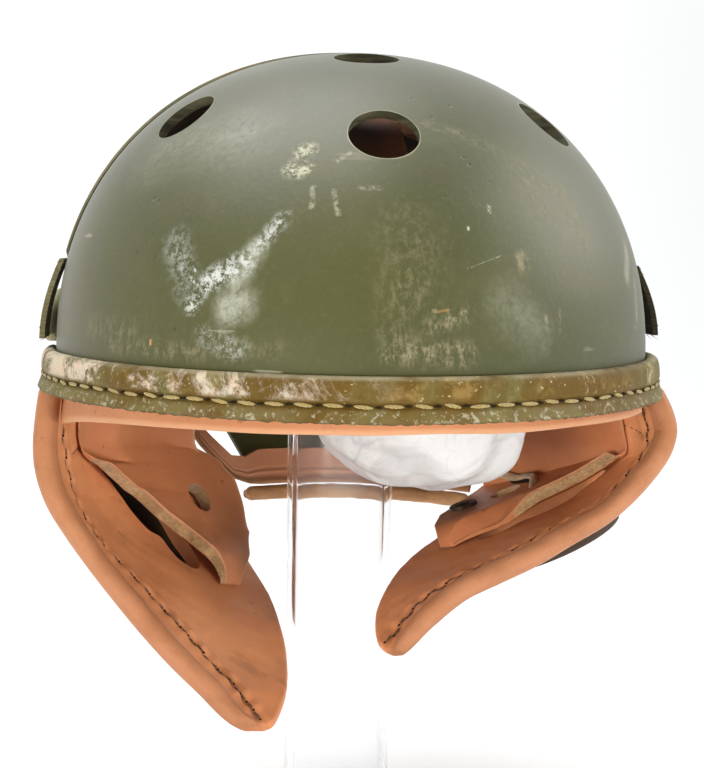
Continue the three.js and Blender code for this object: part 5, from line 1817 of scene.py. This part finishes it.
def slot_rim():
    """The pale rolled rim of the slot in the left pad, and a dark strip of painted shade in the gap beside
    it.
    """
    places = [(0.95, 0.12), (0.91, 0.135), (0.84, 0.155), (0.72, 0.25), (0.61, 0.335)]
    corners = [flap_point(LEFT, *place, 12.6) for place in places]
    path = through(corners, np.linspace(0, 1, 60))
    normal = np.tile(flap_normal(LEFT, 0.8, 0.2), (60, 1))
    count = np.arange(60)
    ends = np.minimum(smoothstep(count, -2, 10), smoothstep(59 - count, -1, 8))
    rings = tube_rings(path, normal, 0.4 + 1.5 * ends, 16)
    rings += normal[:, None] * (0.2 * ripple(rings, 6, 78))[..., None]
    dress(swept("slot_rim_left", rings), "felt", "russet_leather")
    # A dark tube in the gap beside the rim: painted shade
    dark = slice(26, 52)
    shift = unit(np.cross(np.gradient(path, axis=0), normal))[dark]
    width = 0.3 + 1.0 * np.sin(np.linspace(0, math.pi, 26))
    beside = path[dark] + shift * 1.9 - normal[dark] * 0.5
    dress(swept("slot_gap_shade_left", tube_rings(beside, normal[dark], width, 12)), "hole", "russet_leather")


slot_rim()


# Receiver cups outside the ear openings


def near_place(flap, place, offsets):
    """Grid places whose points lie at offsets in the plane that touches the flap at a place."""
    normal = flap_normal(flap, *place)
    middle = flap_middle(flap, *place)
    first = unit(np.cross(normal, [0, 0, 1.0]))
    second = np.cross(normal, first)
    guess = np.tile(np.array(place, float), (len(offsets), 1))
    for _ in range(6):
        here = flap_point(flap, guess[:, 0], guess[:, 1], -FLAP_THICKNESS / 2) - middle
        error = np.stack([offsets[:, 0] - here @ first, offsets[:, 1] - here @ second], -1)
        slope = []
        for shift in ((0.01, 0.0), (0.0, 0.01)):
            other = flap_point(flap, guess[:, 0] + shift[0], guess[:, 1] + shift[1], -FLAP_THICKNESS / 2)
            moved = other - middle - here
            slope.append(np.stack([moved @ first, moved @ second], -1) / 0.01)
        slope = np.stack(slope, -1)
        guess = guess + np.linalg.solve(slope, error[..., None])[..., 0]
        guess = np.clip(guess, 0.02, 0.98)
    return guess, middle, normal, first, second


def receiver_cup(flap):
    """A leather cup seated on the outside of the flap, with a bored end."""
    angle = np.linspace(0, 2 * math.pi, 120, endpoint=False)
    circle = np.stack([np.cos(angle), np.sin(angle)], -1)
    outer = CUP_DIAMETER / 2 - 0.2
    inner = outer - CUP_WALL + 0.3
    face = -FLAP_THICKNESS / 2
    end = face - CUP_HEIGHT + 0.3

    def seated(radius):
        guess, *_ = near_place(flap, CUP_PLACE, circle * radius)
        return flap_point(flap, guess[:, 0], guess[:, 1], face - GAP)

    def level(radius, depth):
        _, middle, normal, first, second = near_place(flap, CUP_PLACE, circle[:1])
        flat = middle + first * (circle[:, :1] * radius) + second * (circle[:, 1:] * radius)
        return flat + normal * depth

    foot_out = seated(outer)
    foot_in = seated(inner)
    top = level(outer, end + 1.2)
    rings = [foot_out]
    rings += [foot_out + (top - foot_out) * share for share in (0.3, 0.6, 0.85, 1.0)]
    rings += [level(outer - 0.25, end + 0.5), level(outer - 0.9, end + 0.1), level(outer - 2, end)]
    rings += [level(radius, end) for radius in (22, 18, 15)]
    rings += [level(CUP_BORE / 2 + 0.8, end), level(CUP_BORE / 2 + 0.2, end + 0.4)]
    rings += [level(CUP_BORE / 2 + 0.2, end + CUP_WALL - 0.5), level(CUP_BORE / 2 + 0.8, end + CUP_WALL)]
    rings += [level(20, end + CUP_WALL), level(inner - 0.6, end + CUP_WALL)]
    rings += [foot_in]
    piece = swept(f"cup_{flap['name']}", np.array(rings).transpose(1, 0, 2), closed=True)
    sharpen(piece, 60)
    dress(piece, "dark", "dark_leather", f"receiver_cup_{flap['name']}")


receiver_cup(RIGHT)
receiver_cup(LEFT)


# Radius and height of the snap's face, from its rim to its middle
SNAP_SECTION = [
    (5.9, 0.1), (5.95, 0.8), (5.8, 1.3), (5.3, 1.6), (4.6, 1.5), (3.9, 1.1), (3.6, 1.1),
    (3.2, 1.7), (2.4, 2.1), (1.4, 2.25), (0.3, 2.3),
]


def flap_snap():
    """A dark metal snap with a domed, dimpled middle."""
    face = float(pad_face(0.5, SNAP_PLACE[1])) + PAD_THICKNESS + GAP
    normal = flap_normal(LEFT, *SNAP_PLACE)
    middle = flap_point(LEFT, *SNAP_PLACE, face)
    first = unit(np.cross(normal, [0, 0, 1.0]))
    second = np.cross(normal, first)
    angle = np.linspace(0, 2 * math.pi, 64, endpoint=False)[:, None]
    radius, height = np.array(SNAP_SECTION).T
    circle = first * np.cos(angle) + second * np.sin(angle)
    upper = middle + circle[:, None] * radius[None, :, None] + normal * height[None, :, None]
    lower = middle + circle[:, None] * radius[None, ::-1, None] + normal * 0.02
    rings = np.concatenate([upper, lower], 1)
    dress(swept("snap", rings, closed=True), "snap", "dark_metal", "flap_snap")


flap_snap()


# Straps outside the crown


def crown_strap():
    """A flat strap from ear to ear over the crown, its edges curled down a little."""
    swing = np.linspace(-math.asin(0.957), math.asin(0.957), 240)[:, None]
    back = np.linspace(STRAP_FRONT, STRAP_BACK, 15)[None]
    middle = (STRAP_FRONT + STRAP_BACK) / 2
    curl = 0.35 * smoothstep(np.abs(back - middle), 7, 12)

    def layer(lift):
        x = (HALF_WIDTH + lift) * np.sin(swing)
        return crown_above(x + 0 * back, back + 0 * x, lift)

    under = layer(CURVED_GAP)
    over = layer(CURVED_GAP + STRAP_THICKNESS)
    over = over - crown_normal(over) * curl[..., None]
    rings = np.concatenate([under, over[:, ::-1]], 1)
    piece = swept("crown_strap_band", rings)
    sharpen(piece, 55)
    dress(piece, "strap", "olive_leather", "crown_strap")
    sway = np.linspace(-math.asin(0.95), math.asin(0.95), 300)
    lift = CURVED_GAP + STRAP_THICKNESS
    path = crown_above((HALF_WIDTH + lift) * np.sin(sway), np.full(300, middle), lift)
    stitch_line(
        "strap_stitches", path, crown_normal(path), "brown_thread", "olive_leather",
        Pitch=0.0045, Length=0.0034, Thickness=0.0007, Lift=-0.0002, Seed=81,
    )


crown_strap()


def goggle_tab(side, proud, drop, name, finish, node):
    """A short web strap, held at its top, with a sewn top edge and loose threads at its end."""
    share = np.linspace(0, 1, 50)[:, None]
    height = TAB_TOP - drop * share
    rise = (1 - (height / CROWN_HEIGHT) ** PROFILE_POWER) ** (1 / PROFILE_POWER)
    stand = GAP + proud * np.sin(share * QUARTER)
    inner = side * (HALF_WIDTH * rise + stand)
    across = np.linspace(-TAB_WIDTH / 2, TAB_WIDTH / 2, 24)[None]
    near = stack(inner + 0 * across, across + 0 * inner, height + 0 * across)
    far = near + [side * TAB_THICKNESS, 0, 0]
    rings = np.concatenate([near, far[:, ::-1]], 1)
    piece = swept(name, rings)
    sharpen(piece, 55)
    dress(piece, finish, "olive_webbing", node)
    for down, seed in ((0.04, 91), (0.13, 94), (0.85, 97)):
        spot = int(round(down * 49))
        path = far[spot] + [side * 0.05, 0, 0]
        outward = np.tile([float(side), 0.0, 0.15], (24, 1))
        stitch_line(
            f"{name}_stitches_{seed}", path, outward, "yellow_thread", "olive_webbing",
            Pitch=0.003, Length=0.0023, Thickness=0.0006, Lift=-0.0001, Wander=0.15, Seed=seed,
        )
    end = build(f"{name}_fray", near[-3:], grid_faces(3, 24, wrap_columns=False)[0])
    fray(end, finish, "olive_webbing", Density=2.2e6, Length=0.0035, Thickness=0.00012, Seed=99)


goggle_tab(-1, 3.4, 29, "tab_right", "web", "goggle_tab_right")
# The left tab wears the darker webbing, painted shade on that side
goggle_tab(1, 4.4, 26, "tab_left", "dark_web", "goggle_tab_left")


# Stand and tissue


def lathe(name, profile, centre, sides=96):
    """A closed profile of radius and height turned round an upright axis; heights from the floor."""
    angle = np.linspace(0, 2 * math.pi, sides, endpoint=False)[:, None]
    radius = np.array([row[0] for row in profile])[None]
    height = np.array([row[1] for row in profile])[None] - RIM_HEIGHT
    x = centre[0] + radius * np.cos(angle)
    y = centre[1] + radius * np.sin(angle)
    piece = swept(name, stack(x, y, height + 0 * x), closed=True)
    sharpen(piece, 40)
    return piece


def stand():
    """A clear tube on a round foot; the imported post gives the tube's two ends."""
    box_low, box_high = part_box("stand_post")
    low = box_low.z * 1000
    high = box_high.z * 1000
    bore = POST_BORE / 2
    out = POST_DIAMETER / 2
    levels = [low + (high - low) * share for share in (0.25, 0.5, 0.75)]
    tube = [(bore, low + 0.4), (bore + 0.4, low), (out - 0.4, low), (out, low + 0.4)]
    tube += [(out, level) for level in levels]
    tube += [(out, high - 0.6), (out - 0.5, high), (bore + 0.5, high), (bore, high - 0.6)]
    tube += [(bore, level) for level in levels[::-1]]
    dress(lathe("post", tube, POST_PLACE), "clear", "clear_plastic", "stand_post")
    rim = BASE_DIAMETER / 2
    top = BASE_THICKNESS
    foot = [(0.4, 0), (rim - 4, 0), (rim - 1.2, 0), (rim, 1.2), (rim, top - 1.2), (rim - 1.2, top)]
    foot += [(rim / 2, top), (0.4, top)]
    dress(lathe("foot", foot, (0, 0), 160), "clear", "clear_plastic", "stand_base")


stand()


def tissue_wad():
    """Tissue crumpled into a ball: flat facets between sharp straight folds."""
    columns = 220
    rows = 130
    polar = np.linspace(0.02, math.pi - 0.02, rows)[:, None]
    turn = np.linspace(0, 2 * math.pi, columns, endpoint=False)[None]
    ball = stack(np.sin(polar) * np.cos(turn), np.sin(polar) * np.sin(turn), np.cos(polar) + 0 * turn)
    crumple = (
        1
        + 0.05 * np.sin(5 * ball[..., 0] + 3 * ball[..., 2]) * np.cos(4 * ball[..., 1] - 2 * ball[..., 2])
        + 0.03 * np.sin(9 * ball[..., 1] + 7 * ball[..., 0])
    )
    chance = np.random.default_rng(101)
    folds = np.zeros(ball.shape[:2])
    for _ in range(22):
        way = unit(chance.normal(size=3))
        pace = chance.uniform(1.4, 5.0)
        phase = chance.uniform(0, 2)
        wave = np.abs(((ball @ way) * pace + phase) % 2 - 1)
        folds += (wave - 0.5) / pace
    points = ball * (WAD_RADIUS * (crumple + 0.05 * folds - 0.03))[..., None] * [1, 1, WAD_SQUASH]
    points = points + WAD_PLACE + [0, 0, WAD_RADIUS * WAD_SQUASH]
    away = points[..., :2] - POST_PLACE
    reach = np.linalg.norm(away, axis=-1, keepdims=True)
    clear = POST_DIAMETER / 2 + 0.4
    pushed = np.where(reach < clear, away / np.maximum(reach, 1e-6) * clear, away)
    points[..., :2] = pushed + POST_PLACE
    piece = swept("tissue", points.reshape(rows, columns, 3))
    sharpen(piece, 60)
    dress(piece, "tissue", "white_paper", "paper_wad")


tissue_wad()


# Studio


def backdrop():
    """A seamless pale sheet that curves up behind the stand."""
    floor = Finish("pale_backdrop", Specular_IOR_Level=0.1)
    soft = floor.noise(3, 2)
    colour = floor.mix(soft, (0.86, 0.865, 0.865), (0.88, 0.885, 0.885))
    material = floor.finish(colour, 0.9, floor.noise(60, 3), 0.0001, 0.1)
    angle = np.linspace(0, QUARTER, 16)
    y = np.concatenate([[-3.0, 0.0, 1.4], 2.0 + 1.2 * np.sin(angle), [3.2]])
    z = np.concatenate([[0.0, 0.0, 0.0], 1.2 * (1 - np.cos(angle)), [4.5]]) - 0.0008
    points = [(x, a, b) for a, b in zip(y, z) for x in (-5.0, 5.0)]
    faces = [(2 * n, 2 * n + 1, 2 * n + 3, 2 * n + 2) for n in range(len(y) - 1)]
    mesh = bpy.data.meshes.new("backdrop")
    mesh.from_pydata(points, [], faces)
    mesh.materials.append(material)
    mesh.shade_smooth()
    linked("backdrop", mesh)


# Soft lamps: metres, watts, and whether the lamp shows in shiny surfaces
LAMPS = table(
    "name place target size energy seen",
    ("overhead", (-0.35, 0.1, 1.5), (-0.02, 0, 0.22), (1.2, 1.2), 21, True),
    ("front_right", (0.75, -1.0, 0.12), (-0.05, 0, 0.15), (0.7, 0.4), 12.5, False),
    ("front_left", (-0.7, -1.05, 0.12), (0.05, 0, 0.15), (0.7, 0.4), 14, False),
    ("side", (1.0, 0.1, 0.8), (0.02, 0, 0.2), (0.7, 0.7), 6, True),
    ("back_wash", (0, 1.4, 1.7), (0, 3.0, 0.6), (3.2, 1.2), 34, True),
)


def lamp(name, place, target, size, energy, seen):
    light = bpy.data.lights.new(name, "AREA")
    light.energy = energy
    light.shape = "RECTANGLE"
    light.size, light.size_y = size
    lit = linked(name, light)
    lit.visible_glossy = seen
    lit.location = place
    lit.rotation_euler = (Vector(target) - Vector(place)).to_track_quat("-Z", "Y").to_euler()


def studio():
    world = bpy.data.worlds.new("studio")
    world.use_nodes = True
    world.node_tree.nodes["Background"].inputs[0].default_value = (0.97, 0.985, 1.0, 1)
    world.node_tree.nodes["Background"].inputs[1].default_value = 0.38
    bpy.context.scene.world = world
    for row in LAMPS:
        lamp(**row)


# The camera that was fitted to the photo: places in millimetres from the rim's middle, the
# roll in radians, and the focal length as a share of the picture's height
CAMERA_PLACE = (-61.21, -596.87, 41.0)
CAMERA_TARGET = (0.816, -0.084, -13.0)
CAMERA_ROLL = 0.0142
FOCAL_SHARE = 1595 / 768
SENSOR = 36


def camera():
    place = Vector(CAMERA_PLACE)
    forward = (Vector(CAMERA_TARGET) - place).normalized()
    right = forward.cross(Vector((0, 0, 1))).normalized()
    up = right.cross(forward)
    across = right * math.cos(CAMERA_ROLL) + up * math.sin(CAMERA_ROLL)
    upward = up * math.cos(CAMERA_ROLL) - right * math.sin(CAMERA_ROLL)
    turn = Matrix((across, upward, -forward)).transposed().to_4x4()
    lens = bpy.data.cameras.new("camera")
    lens.sensor_width = SENSOR
    lens.lens = FOCAL_SHARE * SENSOR
    lens.clip_start = 0.05
    view = linked("camera", lens)
    view.matrix_world = Matrix.Translation(lifted(place)) @ turn
    bpy.context.scene.camera = view
    bpy.context.scene.view_settings.view_transform = "Standard"


backdrop()
studio()
camera()
